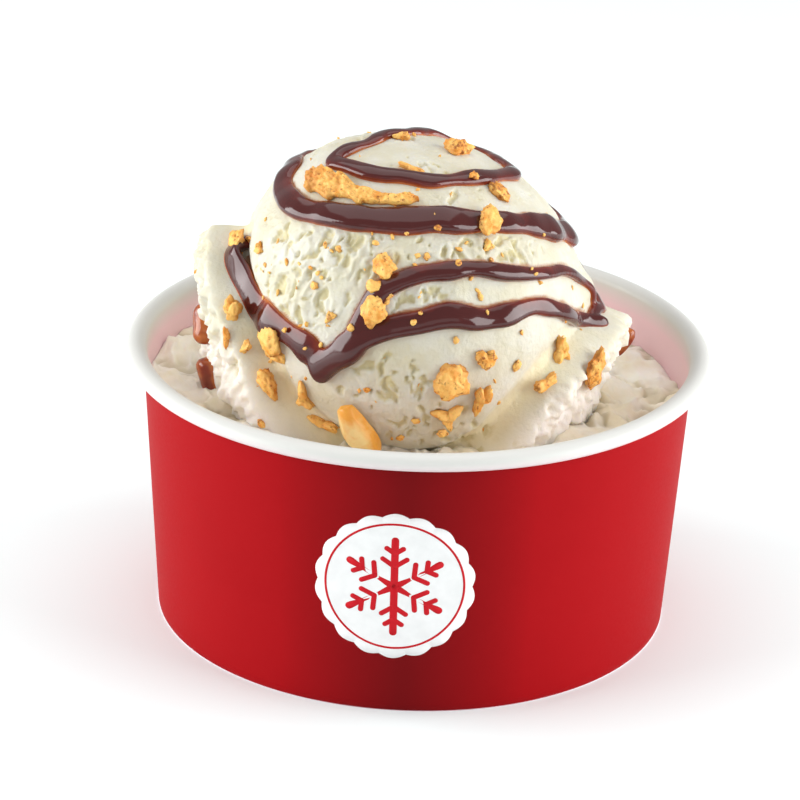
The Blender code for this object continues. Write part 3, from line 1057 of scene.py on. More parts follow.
    def dress(self) -> None:
        """Let the bands run together and give the sauce its finish."""
        thing = self.sweep()
        merge = thing.modifiers.new("run_together", "REMESH")
        merge.mode = "VOXEL"
        merge.voxel_size = self.voxel * MM
        merge.use_smooth_shade = True
        soften = thing.modifiers.new("soften", "SMOOTH")
        soften.factor = 0.6
        soften.iterations = 5
        freeze(thing)
        thing.data.shade_smooth()
        places = np.empty(len(thing.data.vertices) * 3)
        thing.data.vertices.foreach_get("co", places)
        reach = places.reshape(-1, 3) / MM - np.array(self.form.centre)
        height = np.linalg.norm(reach, axis=1) - self.form.radius(unit(reach))
        bearing, elevation = angles_of(unit(reach))
        # Painted light: the drops at the sides are painted as thinner sauce, for light shining
        # through them.
        side = np.maximum(smoothstep(72, 76, -bearing), smoothstep(82, 86, bearing))
        drop_glow = side * smoothstep(112, 102, np.abs(bearing)) * smoothstep(3, -1, elevation)
        depth = np.clip(height / self.full_depth, 0, 1)
        paint(thing, "depth", depth * (1 - self.drop_glow_share * drop_glow))
        settle(thing, DarkSauce().make(), "dark_sauce")


@dataclass
class CreamScoop:
    """The scoop of cream-coloured gelato, torn and pitted where the scoop dragged it."""

    form: ScoopForm
    sauce: SaucePour
    net: int = 138
    # Torn patches: bearing, elevation, half widths in bearing and elevation, strength.
    torn: tuple[tuple[float, ...], ...] = (
        (-30, 33, 34, 9, 1.0), (-45, 17, 22, 14, 1.0), (-12, 36, 26, 8, 0.9), (20, 36, 22, 7, 0.8),
        (44, 33, 16, 9, 0.8), (2, 20, 14, 5, 0.9), (-8, -6, 24, 10, 0.7), (2, -22, 24, 9, 0.6),
        (18, -30, 14, 8, 0.7), (10, 74, 60, 10, 0.3), (30, 56, 50, 6, 0.35), (-45, 56, 30, 6, 0.3),
    )

    # The collar's torn relief: height, size and seed of each layer.
    rags: tuple[Layer, ...] = ((1.0, 3.6, 20.0), (0.85, 1.7, 22.0), (0.5, 0.85, 24.0))
    fold_height: float = 0.8
    strand_height: float = 1.1
    ridge_height: float = 0.40
    pit_depth: float = 0.42
    swell_height: float = 0.14

    def surface(self) -> tuple[Array, Faces]:
        """Give an even net of unit vectors that leaves out the hidden underside.

        Returns:
            The vectors and the faces, closed by a fan below.
        """
        steps = np.tan(np.linspace(-math.pi / 4, math.pi / 4, self.net + 1))
        a, b = np.meshgrid(steps, steps, indexing="ij")
        one = np.ones_like(a)
        sides = [(one, a, b), (-one, -a, b), (-a, one, b), (a, -one, b), (a, b, one)]
        grid = np.concatenate([np.stack(side, axis=-1).reshape(-1, 3) for side in sides])
        keys, first, back = np.unique(
            np.round(grid, 6), axis=0, return_index=True, return_inverse=True
        )
        back = back.reshape(5, self.net + 1, self.net + 1)
        corners = [back[:, :-1, :-1], back[:, 1:, :-1], back[:, 1:, 1:], back[:, :-1, 1:]]
        faces = [tuple(quad) for quad in np.stack(corners, axis=-1).reshape(-1, 4).tolist()]
        ways = np.concatenate([unit(grid[first]), [[0.0, 0.0, -1.0]]])
        for side in range(4):
            edge = back[side, :, 0].tolist()
            faces += [(there, here, len(keys)) for here, there in zip(edge, edge[1:])]
        return ways, faces

    def tear(self, bearing: Array, elevation: Array, points: Array) -> Array:
        """Give how torn the surface is.

        Args:
            bearing: Bearings.
            elevation: Elevations.
            points: The surface's points.

        Returns:
            Strengths in 0 to 1.
        """
        behind = smoothstep(80, 120, np.abs(bearing))
        strength = 0.12 + 0.5 * smoothstep(0.0, 0.5, lumps(points, 11, 5.0)) * behind
        for at, up, half_turn, half_rise, full in self.torn:
            patch = hump(turn_apart(bearing, at), elevation - up, (half_turn, half_rise), 1.5)
            strength = np.maximum(strength, full * patch)
        return strength

    def ball_relief(self, points: Array, torn: Array) -> tuple[Array, Array]:
        """Give the relief of the ball: ridges and pits where it is torn.

        Args:
            points: The surface's points.
            torn: How torn it is there.

        Returns:
            Heights in millimetres, and how far in a pit each point is.
        """
        warp = np.stack([lumps(points, 2.6, seed) for seed in (1.7, 4.3, 8.9)], axis=-1)
        drawn = (points + 1.1 * warp) / np.array([1.0, 1.0, 1.6])
        coarse, fine = lumps(drawn, 1.55, 6.0), lumps(drawn, 0.72, 3.0)
        grainy = coarse + 0.5 * fine + 0.35 * lumps(points, 5.0, 9.0)
        pit = smoothstep(0.34, 0.56, grainy - 0.16 + 0.52 * torn) * smoothstep(0.05, 0.4, torn)
        ridge = (1 - np.abs(lumps(drawn, 1.9, 12.0)) * 2.6).clip(0, 1) ** 2
        relief = torn * (self.ridge_height * ridge + 0.18 * fine)
        relief = relief - (self.pit_depth + 0.3 * fine) * pit
        return relief + self.swell_height * lumps(points, 2.8, 14.0), pit

    def collar_relief(self, points: Array, elevation: Array) -> Array:
        """Give the relief of the collar: torn folds, drawn out in strands toward its foot.

        Args:
            points: The surface's points.
            elevation: Their elevations.

        Returns:
            Heights in millimetres.
        """
        folds = lumps(points * np.array([1, 1, 0.5]), 2.6, 26.0)
        folds = (1 - np.abs(folds) * 2.2).clip(0, 1) ** 2
        strands = lumps(points * np.array([1, 1, 0.35]), 2.9, 30.0)
        foot = smoothstep(-16, -30, elevation)
        ragged = layered(points, *self.rags) + self.fold_height * folds
        return ragged + foot * self.strand_height * strands

    def dress(self) -> Piece:
        """Build the scoop with its relief and give it its finish.

        Returns:
            The dressed piece.
        """
        ways, faces = self.surface()
        base = self.form.radius(ways)
        points = np.array(self.form.centre) + ways * base[:, None]
        bearing, elevation = angles_of(ways)
        below = self.form.below_crest(bearing, elevation)
        collar = smoothstep(0.5, 4, below)
        ball = 1 - collar
        in_front = smoothstep(-60, -10, -np.abs(bearing + 20) + 55)
        groove = np.exp(-(((below + 1.5) / 3.2) ** 2)) * in_front
        torn = self.tear(bearing, elevation, points) * ball
        away, uphill = self.sauce.distances(points)
        clear = smoothstep(-0.3, 1.0, away)
        steep = smoothstep(-1.5, 0.5, below) * smoothstep(6.0, 3.5, below)
        steep = steep * smoothstep(5, -30, bearing)

        relief, pit = self.ball_relief(points, torn)
        ragged = self.collar_relief(points, elevation)
        relief = (relief * ball + collar * ragged) * clear * (1 - 0.7 * steep)
        relief = relief - 0.12 * smoothstep(0.4, -0.6, away)
        centre = np.array(self.form.centre)
        floor = (centre[2] - self.form.seat) / np.maximum(-ways[:, 2], 1e-6)
        reach = np.minimum(base + relief, np.where(ways[:, 2] < -0.05, floor, 1e9))
        points = centre + ways * reach[:, None]
        thing = solid_object("cream_scoop", points, faces)

        # Painted shade: the collar's hollows take the pit colour too.
        hollow_shade = collar * smoothstep(-0.25, -1.1, ragged)
        bleed = smoothstep(0.34, 0.04, away + 0.25 * lumps(points, 1.4, 40.0))
        bleed = bleed * smoothstep(0.2, 1.2, uphill)
        density = 0.25 + 0.75 * hump(bearing + 35, elevation - 18, (55, 30))
        density = density * smoothstep(-40, -30, elevation) * (1 - 0.75 * collar)
        # Painted shade: the pits and the collar's hollows.
        paint(thing, "pit", np.maximum(pit, 0.8 * hollow_shade) * clear)
        # The groove's yellow, partly painted light, on the front of the ball.
        paint(thing, "groove", groove * ball * clear)
        # Painted light: how much the collar is lightened, growing toward its foot.
        paint(thing, "collar", collar * smoothstep(4, -22, elevation))
        paint(thing, "stain", 0.85 * bleed * (1 - steep))
        paint(thing, "crumb_share", density)
        settle(thing, CreamGelato().make(), "cream_gelato", "scoop")
        return thing


@dataclass
class PaperTub:
    """The paper cup: a tapered printed wall, a rolled rim, a folded foot and a seam behind."""

    height: float = 44.5
    foot_radius: float = 40.6
    neck_radius: float = 43.2
    rim_radius: float = 46.0
    roll: float = 2.7
    paper: float = 0.6
    gap: float = 0.3
    fold_height: float = 6.5
    fold_floor: float = 1.0
    edge: float = 0.2
    segments: int = 224
    seam_half: float = 6.0
    seam_rise: float = 0.12
    seam_fade: float = 0.8
    curl: float = -134.0

    def wall_radius(self, height: Array | float) -> Array | float:
        """Give the wall's outer radius at a height."""
        taper = (self.neck_radius - self.foot_radius) / (self.height - self.roll)
        return self.foot_radius + taper * height

    def layer(self, height: float, papers: int, gaps: int) -> float:
        """Give the radius inside the wall's outer face.

        Args:
            height: The height.
            papers: How many papers further in.
            gaps: How many gaps further in.

        Returns:
            The radius.
        """
        return self.wall_radius(height) - papers * self.paper - gaps * self.gap

    def profile(self) -> tuple[Array, int]:
        """Give the wall's closed section.

        Returns:
            Points as (radius, height), and how many of the first ones are printed red.
        """
        points = [(self.wall_radius(0) - self.edge, 0.0), (self.wall_radius(self.edge), self.edge)]
        half_roll = self.roll / 2
        middle = self.height - half_roll
        inner = self.layer(middle, 1, 0)
        half = (self.rim_radius - inner) / 2
        top = middle + half_roll * math.sin(math.radians(self.curl))
        points += [(self.wall_radius(z), z) for z in np.linspace(1.2, top - 0.4, 22)]
        red = len(points)
        for angle in np.radians(np.linspace(self.curl, 180, 34)):
            reach = inner + half + half * math.cos(angle)
            points.append((reach, middle + half_roll * math.sin(angle)))
        inside = np.linspace(middle - 0.8, self.fold_floor + 0.4, 16)
        points += [(self.layer(z, 1, 0), z) for z in inside]
        points += [
            (self.layer(self.fold_floor, 1, 0), self.fold_floor),
            (self.layer(self.fold_floor, 2, 2), self.fold_floor),
            (self.layer(self.fold_height, 2, 2), self.fold_height),
            (self.layer(self.fold_height, 3, 2), self.fold_height),
            (self.layer(self.edge, 3, 2), self.edge),
            (self.layer(0, 3, 2) + self.edge, 0.0),
        ]
        return np.array(points), red

    def dress(self) -> None:
        """Turn the wall, raise its seam at the back and give it its finishes."""
        profile, red = self.profile()
        bearing = np.arange(self.segments) * 360 / self.segments
        around, up = np.radians(bearing)[:, None], profile[None, :, 1]
        off_seam = np.abs(turn_apart(bearing, 180.0))
        seam = smoothstep(self.seam_half, self.seam_half - self.seam_fade, off_seam)
        printed = np.arange(len(profile)) < red
        radius = profile[None, :, 0] + self.seam_rise * seam[:, None] * printed
        ring = [radius * np.sin(around), -radius * np.cos(around), up + 0 * around]
        ring = np.stack(ring, axis=-1)
        faces = ring_faces(self.segments, len(profile), closed=True)
        thing = solid_object("paper_tub", ring.reshape(-1, 3), faces)
        outward(thing)
        settle(thing, RedPrintAndShade().make(), "printed_paper", "cup_wall")
        thing.data.materials.append(WhiteBoard().make())
        printed_top = profile[red - 1, 1]
        for face in thing.data.polygons:
            out = math.hypot(face.center.x, face.center.y) / MM
            height = face.center.z / MM
            outside = out > self.wall_radius(height) - 0.3 and 0.1 < height < printed_top
            face.material_index = 0 if outside else 1

    def dress_base(self) -> None:
        """Give the base, whose solid stays, a paper finish."""
        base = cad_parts["cup_base"]
        base.data.materials.clear()
        base.data.materials.append(WhiteBoard().make())


@dataclass
class SnowBadge:
    """A round badge with a scalloped edge and a six-armed snowflake, printed on the wall."""

    tub: PaperTub
    bearing: float = -3.3
    height: float = 21.6
    radius: float = 12.3
    scallops: int = 18
    scallop_depth: float = 0.55
    raised: float = 0.05
    sunk: float = 0.05
    ink: float = 0.02
    # The disc's nested outlines, the ring's radii, and the arms' (length, width).
    nested: tuple[float, ...] = (0.05, 0.25, 0.45, 0.65, 0.85, 1.0)
    ring: tuple[float, float] = (10.35, 10.7)
    arm: tuple[float, float] = (7.6, 1.15)
    # The twigs on each arm: how far out and how long.
    twigs: tuple[tuple[float, float], ...] = ((3.4, 2.2), (5.6, 1.5))
    twig_width: float = 0.8
    twig_turn: float = 55.0
    white: Colour = (0.86, 0.86, 0.86, 1)
    red: Colour = (0.55, 0.010, 0.018, 1)

    def on_wall(self, flat: Array, raised: float) -> Array:
        """Wrap flat artwork round the tapered wall.

        Args:
            flat: Millimetres to the right of the badge's middle and above it.
            raised: How far proud of the wall.

        Returns:
            Points in millimetres.
        """
        height = self.height + flat[..., 1]
        wall = self.tub.wall_radius(height)
        turn = np.radians(self.bearing) + flat[..., 0] / wall
        wall = wall + raised
        return np.stack([wall * np.sin(turn), -wall * np.cos(turn), height], axis=-1)

    def place(self, name: str, points: Array, faces: Faces, made: Finish) -> None:
        """Make one closed piece of the badge.

        Args:
            name: The piece's name.
            points: Its points.
            faces: Its faces.
            made: Its finish.
        """
        thing = solid_object(name, points, faces)
        outward(thing)
        settle(thing, made, "printed_paper")

    def slab(self, name: str, rings: Array, raised: float, made: Finish) -> None:
        """Make a thin closed slab from nested outlines, the first one the innermost.

        Args:
            name: The piece's name.
            rings: Outlines as (ring, point, across and up).
            raised: How far its face is proud of the wall.
            made: Its finish.
        """
        count, around = rings.shape[:2]
        layers = [self.on_wall(rings, level).reshape(-1, 3) for level in (raised, -self.sunk)]
        faces = []
        for base in (0, count * around):
            faces.append(tuple(range(base, base + around)))
            faces += ring_faces(count, around, base)
        rim = (count - 1) * around
        for k in range(around):
            m = (k + 1) % around
            faces.append((rim + k, rim + m, rim + m + count * around, rim + k + count * around))
        self.place(name, np.concatenate(layers), faces, made)

    def band(self, name: str, inner: Array, outer: Array, made: Finish) -> None:
        """Make a thin closed ring between two outlines.

        Args:
            name: The piece's name.
            inner: Its inner outline.
            outer: Its outer outline.
            made: Its finish.
        """
        face = self.raised + self.ink
        loops = [(inner, face), (outer, face), (outer, 0.0), (inner, 0.0)]
        points = np.concatenate([self.on_wall(loop, level) for loop, level in loops])
        self.place(name, points, ring_faces(len(loops), len(inner), closed=True), made)

    def bar(self, length: float, width: float, at: float, start: Array, steps: int = 12) -> Array:
        """Outline a round-ended bar as one ring of points.

        Args:
            length: Its length.
            width: Its width.
            at: The angle that it points to, in degrees.
            start: Where it starts.
            steps: Points round each end.

        Returns:
            The ring's points.
        """
        half = width / 2
        turns = np.radians(np.linspace(90, 270, steps))
        back = np.stack([half * np.cos(turns), half * np.sin(turns)], axis=-1)
        front = np.stack([length - half * np.cos(turns), -half * np.sin(turns)], axis=-1)
        flat = np.concatenate([back, front])
        c, s = math.cos(math.radians(at)), math.sin(math.radians(at))
        return start + flat @ np.array([[c, s], [-s, c]])

    def snowflake(self) -> list[Array]:
        """Outline the snowflake's arms and twigs.

        Returns:
            One ring of points for each.
        """
        bars = []
        for k in range(6):
            at = 90 + 60 * k
            heading = np.array([math.cos(math.radians(at)), math.sin(math.radians(at))])
            bars.append(self.bar(*self.arm, at, heading * 0.2))
            for out, length in self.twigs:
                for side in (-self.twig_turn, self.twig_turn):
                    bars.append(self.bar(length, self.twig_width, at + side, heading * out))
        return bars

    def dress(self) -> None:
        """Build the disc, its inner ring and the snowflake."""
        white = BadgeInk("badge_white", self.white).make()
        red = BadgeInk("badge_red", self.red).make()
        turn = np.linspace(0, math.tau, 360, endpoint=False)
        circle = np.stack([np.cos(turn), np.sin(turn)], axis=-1)
        edge = 1 - np.abs(np.sin(turn * self.scallops / 2))
        edge = (self.radius - self.scallop_depth * edge)[:, None] * circle
        self.slab("badge_disc", np.stack([edge * part for part in self.nested]), self.raised, white)
        self.band("badge_ring", circle * self.ring[0], circle * self.ring[1], red)
        for number, outline in enumerate(self.snowflake()):
            middle = outline.mean(axis=0)
            nested = np.stack([middle + (outline - middle) * 0.5, outline])
            # Bars that cross are a micron apart, so their faces don't coincide.
            raised = self.raised + self.ink + 0.001 * (number % 5)
            self.slab(f"badge_arm_{number}", nested, raised, red)


@dataclass
class TubFilling:
    """The beige gelato in the cup, with its churned top."""

    form: ScoopForm
    tub: PaperTub
    level: float = 36.4
    bottom: float = 7.8
    left_rise: float = 1.2
    front_dip: float = 1.5
    clear: float = 0.02
    around: int = 460
    rows: int = 70
    mound_height: float = 1.5
    fold_height: float = 0.8
    crease_depth: float = 0.5
    moat_depth: float = 1.3
    fine: tuple[Layer, ...] = ((0.2, 1.0, 54.0), (0.08, 0.55, 55.0))

    def top(self, x: Array, y: Array) -> Array:
        """Give the top's height before its fine relief.

        Args:
            x: Millimetres to the right.
            y: Millimetres to the back.

        Returns:
            Heights.
        """
        height = self.level - self.left_rise * x / 40.6
        height = height - self.front_dip * smoothstep(8, 24, -y) * smoothstep(-26, -12, -np.abs(x))
        return height + 0.8 * lumps(np.stack([x, y, 0 * x], axis=-1), 8.0)

    def circle(self, bearing: Array, height: float, z: float) -> Array:
        """Give a ring of points just inside the wall.

        Args:
            bearing: Bearings.
            height: Where the wall's radius is taken.
            z: The points' height.

        Returns:
            The points.
        """
        wall, turn = self.tub.layer(height, 1, 0) - self.clear, np.radians(bearing)
        return np.stack([wall * np.sin(turn), -wall * np.cos(turn), z + 0 * turn], axis=-1)

    def churn(self, top: Array, brim: Array) -> tuple[Array, Array]:
        """Give the churned relief of the top.

        Args:
            top: The top's points, from the wall to the scoop.
            brim: The points where it meets the scoop.

        Returns:
            Heights in millimetres, and the painted shade for each point, deepest in creases, the
            moat round the scoop and low places.
        """
        flat = top * np.array([1, 1, 0])
        warp = 2.2 * np.stack([lumps(flat, 6.0, seed) for seed in (41.0, 43.0, 47.0)], axis=-1)
        mound = lumps(flat + warp, 6.5, 50.0)
        broad = self.mound_height * mound + 0.45 * lumps(flat, 2.4, 52.0)
        crease = smoothstep(0.10, 0.0, np.abs(mound + 0.12))
        crease = crease * smoothstep(-0.2, 0.3, lumps(flat, 5.0, 58.0))
        gap = np.linalg.norm(top[..., :2] - brim[None, :, :2], axis=-1)
        moat = smoothstep(2.2, 0.9, gap) * smoothstep(-0.1, 0.5, lumps(flat, 4.0, 60.0))
        folds = (1 - 2.4 * np.abs(lumps(flat + 1.4 * warp, 4.2, 62.0))).clip(0, 1) ** 1.5
        relief = broad + layered(flat, *self.fine) + self.fold_height * folds
        relief = relief - self.crease_depth * crease - self.moat_depth * moat
        # Painted shade: creases, the moat and low places get the grey.
        low = smoothstep(0.1, -0.7, broad + 0.5 * folds)
        return relief, np.clip(0.8 * crease + 0.9 * moat + 0.7 * low, 0, 1)

    def dress(self) -> None:
        """Build the filling and give it its finish."""
        bearing = np.arange(self.around) * 360 / self.around - 180
        outer = self.circle(bearing, self.level, 0.0)
        brim = self.form.foot(bearing, np.full_like(bearing, self.level - 0.8), -0.9)
        part = np.linspace(0, 1, self.rows)[:, None, None]
        top = outer * (1 - part) + brim * part
        relief, low = self.churn(top, brim)
        near_wall = 0.35 + 0.65 * smoothstep(0.0, 0.05, part[..., 0])
        top[..., 2] = self.top(top[..., 0], top[..., 1]) + relief * near_wall
        foot = self.circle(bearing, self.bottom, self.bottom)
        seat = self.form.seat - 0.3
        sunk = brim.copy()
        sunk[:, 2] = seat
        rings = np.concatenate([foot[None], top, sunk[None]])
        poles = [[0, 0, self.bottom], [self.form.centre[0], 0, seat]]
        points = np.concatenate([rings.reshape(-1, 3), poles])
        faces = ring_faces(len(rings), self.around)
        first, last = len(points) - 2, len(points) - 1
        final = (len(rings) - 1) * self.around
        for k in range(self.around):
            m = (k + 1) % self.around
            faces += [(first, m, k), (last, final + k, final + m)]
        thing = solid_object("tub_filling", points, faces)
        # Painted shade: full under the scoop, on the sunk ring and its pole.
        hollow_shade = np.zeros((len(rings), self.around))
        hollow_shade[1:-1] = low
        hollow_shade[-1] = 1
        paint(thing, "hollow_shade", np.concatenate([hollow_shade.ravel(), [0, 1]]))
        settle(thing, BeigeGelato().make(), "beige_gelato", "gelato_fill")


class CrumbShape(Enum):
    """The outline of a toasted piece: its reach at twelve even turns from its long axis."""

    CHUNK = (1.0, 0.9, 1.05, 0.85, 1.0, 0.9, 1.0, 0.85, 0.95, 1.05, 0.85, 0.95)
    BOW = (1.0, 1.05, 0.6, 0.3, 0.6, 0.95, 1.05, 0.95, 0.5, 0.35, 0.55, 1.0)
    HEART = (0.85, 1.05, 1.0, 0.45, 1.0, 1.05, 0.85, 0.75, 0.8, 1.15, 0.85, 0.75)
    FORK = (0.4, 0.75, 1.15, 0.3, 1.15, 0.75, 0.35, 0.3, 0.55, 1.15, 0.5, 0.3)
    STAR = (0.45, 0.35, 0.6, 1.15, 0.6, 0.35, 0.5, 1.1, 0.6, 0.4, 0.6, 1.1)
    WEDGE = (0.75, 0.62, 0.8, 1.2, 0.8, 0.62, 0.75, 1.15, 0.8, 0.65, 0.8, 1.15)
    LEAF = (1.1, 0.6, 0.55, 0.6, 0.65, 0.8, 1.05, 0.8, 0.6, 0.55, 0.5, 0.6)
    STALK = (0.75, 0.95, 0.65, 0.65, 0.75, 0.95, 0.9, 0.95, 0.75, 0.62, 0.7, 1.5)


@dataclass(frozen=True)
class Crumb:
    """One toasted piece: where it lies, its size, how it is turned, its shape and roast."""

    bearing: float
    elevation: float
    length: float
    width: float
    turn: float
    shape: CrumbShape = CrumbShape.CHUNK
    roast: Roast = Roast.GOLDEN


@dataclass
class ToastedCrumbs:
    """The toasted pieces that are placed one by one on the scoop and its sauce."""

    form: ScoopForm
    sauce: SaucePour
    crumb_level: int = 4
    speck_level: int = 2
    back_count: int = 12
    back_seed: int = 4
    back_highest: float = 32.0
    placed: tuple[Crumb, ...] = (
        Crumb(104, 75, 4.8, 4.2, 70, CrumbShape.WEDGE, Roast.DARK),
        Crumb(-143, 82, 3.2, 2.6, 0, CrumbShape.WEDGE),
        Crumb(-5, 71, 4.2, 2.2, -30, CrumbShape.BOW),
        Crumb(49, 63, 1.9, 1.4, 0, roast=Roast.DARK),
        Crumb(61, 54, 4.4, 2.7, 80, roast=Roast.DARK),
        Crumb(36, 45, 4.6, 3.4, 60),
        Crumb(-80.4, 19.7, 4.8, 4.4, 40),
        Crumb(-78, 23, 2.4, 1.6, 20, CrumbShape.LEAF, Roast.DARK),
        Crumb(-65, 24, 2.2, 1.8, 30, CrumbShape.WEDGE),
        Crumb(-74, 14, 1.6, 0.8, 80),
        Crumb(-10, 31, 4.4, 3.4, -60),
        Crumb(-12, 24, 2.2, 1.9, 0),
        Crumb(-7, 22, 1.3, 1.1, 0),
        Crumb(-11, 17, 4.2, 3.5, 70),
        Crumb(33, 37, 2.0, 1.7, 0, CrumbShape.WEDGE),
        Crumb(-62, 4, 4.0, 4.6, 0, CrumbShape.FORK, Roast.PALE),
        Crumb(-60, -2, 3.2, 1.7, -80, CrumbShape.LEAF),
        Crumb(-56, -5, 3.8, 2.4, 45, CrumbShape.BOW),
        Crumb(-49, 0, 5.0, 4.4, 60, roast=Roast.PALE),
        Crumb(-49, -7, 4.4, 3.2, 0, CrumbShape.BOW),
        Crumb(-49, -14, 4.2, 5.2, 30, CrumbShape.HEART),
        Crumb(-37, -19, 4.4, 5.0, 0, CrumbShape.STAR, Roast.PALE),
        Crumb(-32, -29, 4.8, 2.6, -15, CrumbShape.BOW),
        Crumb(-46, -23, 1.8, 1.3, 60),
        Crumb(14, -6, 5.4, 5.0, 70),
        Crumb(25, 1, 3.4, 3.0, -10, CrumbShape.HEART, Roast.DARK),
        Crumb(24, -13, 3.6, 4.8, -15, CrumbShape.FORK),
        Crumb(14, -19, 4.6, 5.0, -50, CrumbShape.STAR, Roast.PALE),
        Crumb(57, -4, 4.6, 5.0, 170, CrumbShape.FORK, Roast.PALE),
        Crumb(48, -11, 5.2, 3.0, 15, CrumbShape.BOW),
        Crumb(62, -9, 5.8, 5.6, 90, CrumbShape.STALK, Roast.DARK),
        Crumb(13, -27, 1.8, 1.4, 0),
        Crumb(-26, 13, 1.9, 1.6, 40, CrumbShape.WEDGE),
        Crumb(37, -4, 1.9, 1.4, 60),
        Crumb(-92, -14, 3.0, 2.0, 10, CrumbShape.WEDGE, Roast.DARK),
        Crumb(3, -21, 1.3, 1.0, 0),
        Crumb(-2, -30, 1.4, 1.1, 40),
        Crumb(-34, 21, 1.3, 1.2, 0),
        Crumb(-13, -10, 1.3, 0.8, 0, roast=Roast.DARK),
    )
    # Small ones, most on the sauce: bearing and elevation.
    specks: Marks = (
        (25, 16), (24, 11), (2, 14), (3, 17), (-17, 7), (-18, 11), (-33, 1), (-28, 3), (-25, 1),
        (-41, 5), (48, 26), (48, 24), (21, 27), (71, 13), (76, 5), (61, 5), (40, 7), (-59, 21),
        (-54, 22), (-49, 25), (-42, 26), (-37, 26), (-32, 33), (-28, 34), (-15, 38), (-8, 41),
        (-3, 42), (-18, 41), (2, 35), (-33, 25), (-31, 24), (-49, 15), (-61, 19), (2, 32), (6, 35),
        (20, 37), (23, 39), (38, 33), (33, 32), (10, 48), (11, 44), (64, 34), (15, 8), (24, 23),
        (25, 21), (18, 32), (-10, 20), (-7, 20),
    )

    def lump(self, crumb: Crumb, seed: float, level: int) -> tuple[Array, Faces, Array]:
        """Shape one piece, partly sunk in what it lies on.

        Args:
            crumb: The piece.
            seed: Makes its lumps its own.
            level: How fine its net is.

        Returns:
            Its points, its faces and how much each point is darkened, more toward its underside and
            sides.
        """
        ways, faces = ball_net(level)
        size = 1 + layered(ways, (0.4, 1.1, seed), (0.25, 0.5, seed + 3))
        size = cut_facets(ways, size, int(seed * 100) % 9973, 9, 0.62, 0.95)
        if level > self.speck_level:
            size = size + layered(ways, (0.16, 0.33, seed + 7), (0.10, 0.15, seed + 9))
        around = np.degrees(np.arctan2(ways[:, 1], ways[:, 0]))
        reach = np.interp(around, np.arange(0, 360, 30), crumb.shape.value, period=360)
        reach = np.stack([reach, reach, 0.6 + 0.4 * reach], axis=-1)
        body = ways * (1.15 * size)[:, None] * reach
        way, long_axis, cross_axis = axes_at(crumb.bearing, crumb.elevation, crumb.turn)
        surface = self.form.point(way[None])[0]
        away = self.sauce.distances(surface[None])[0]
        lift = 0.12 * crumb.width + 0.95 * float(smoothstep(0.3, -0.5, away)[0])
        x = body[:, 0:1] * crumb.length / 2
        y = body[:, 1:2] * crumb.width / 2
        z = body[:, 2:3] * min(crumb.width * 0.32, 1.2)
        # Darker toward the piece's underside and sides, by which way each point faces.
        browned = smoothstep(0.35, -0.25, ways[:, 2] + 0.7 * lumps(ways, 0.5, seed + 5))
        return surface + way * (z + lift) + long_axis * x + cross_axis * y, faces, browned

    def pieces(self) -> dict[Roast, list[tuple[Crumb, int]]]:
        """Sort the placed pieces, those behind and the specks by roast.

        Returns:
            Each roast's pieces and how fine the net of each is.
        """
        draw = random.Random(self.back_seed)
        pieces = list(self.placed)
        for _ in range(self.back_count):
            bearing = 180 + 0.6 * draw.uniform(-72, 72)
            length = draw.uniform(2.2, 4.4)
            elevation = min(draw.uniform(-4, 60), self.back_highest)
            width = length * draw.uniform(0.6, 0.9)
            pieces.append(Crumb(bearing, elevation, length, width, draw.uniform(0, 180)))
        groups: dict[Roast, list[tuple[Crumb, int]]] = {roast: [] for roast in Roast}
        for crumb in pieces:
            groups[crumb.roast].append((crumb, self.crumb_level))
        for bearing, elevation in self.specks:
            length = draw.uniform(0.7, 1.4)
            place = (bearing + draw.uniform(-1, 1), elevation)
            size = (length, length * draw.uniform(0.4, 0.9))
            turn = draw.uniform(0, 180)
            speck = Crumb(*place, *size, turn, roast=draw.choice(list(Roast)))
            groups[speck.roast].append((speck, self.speck_level))
        return groups

    def dress(self) -> None:
        """Build every placed piece, one object for each roast, and the specks."""
        for roast, members in self.pieces().items():
            points, faces, browned, start = [], [], [], 0
            for number, (crumb, level) in enumerate(members):
                shape, sides, brown = self.lump(crumb, 2.3 * number + 11 * roast.value, level)
                points.append(shape)
                browned.append(brown)
                faces += [tuple(start + i for i in side) for side in sides]
                start += len(shape)
            kind = roast.name.lower()
            thing = solid_object(f"toasted_crumbs_{kind}", np.concatenate(points), faces)
            paint(thing, "browned", np.concatenate(browned))
            settle(thing, Toasted(f"toasted_{kind}", roast).make(), "toasted_topping")


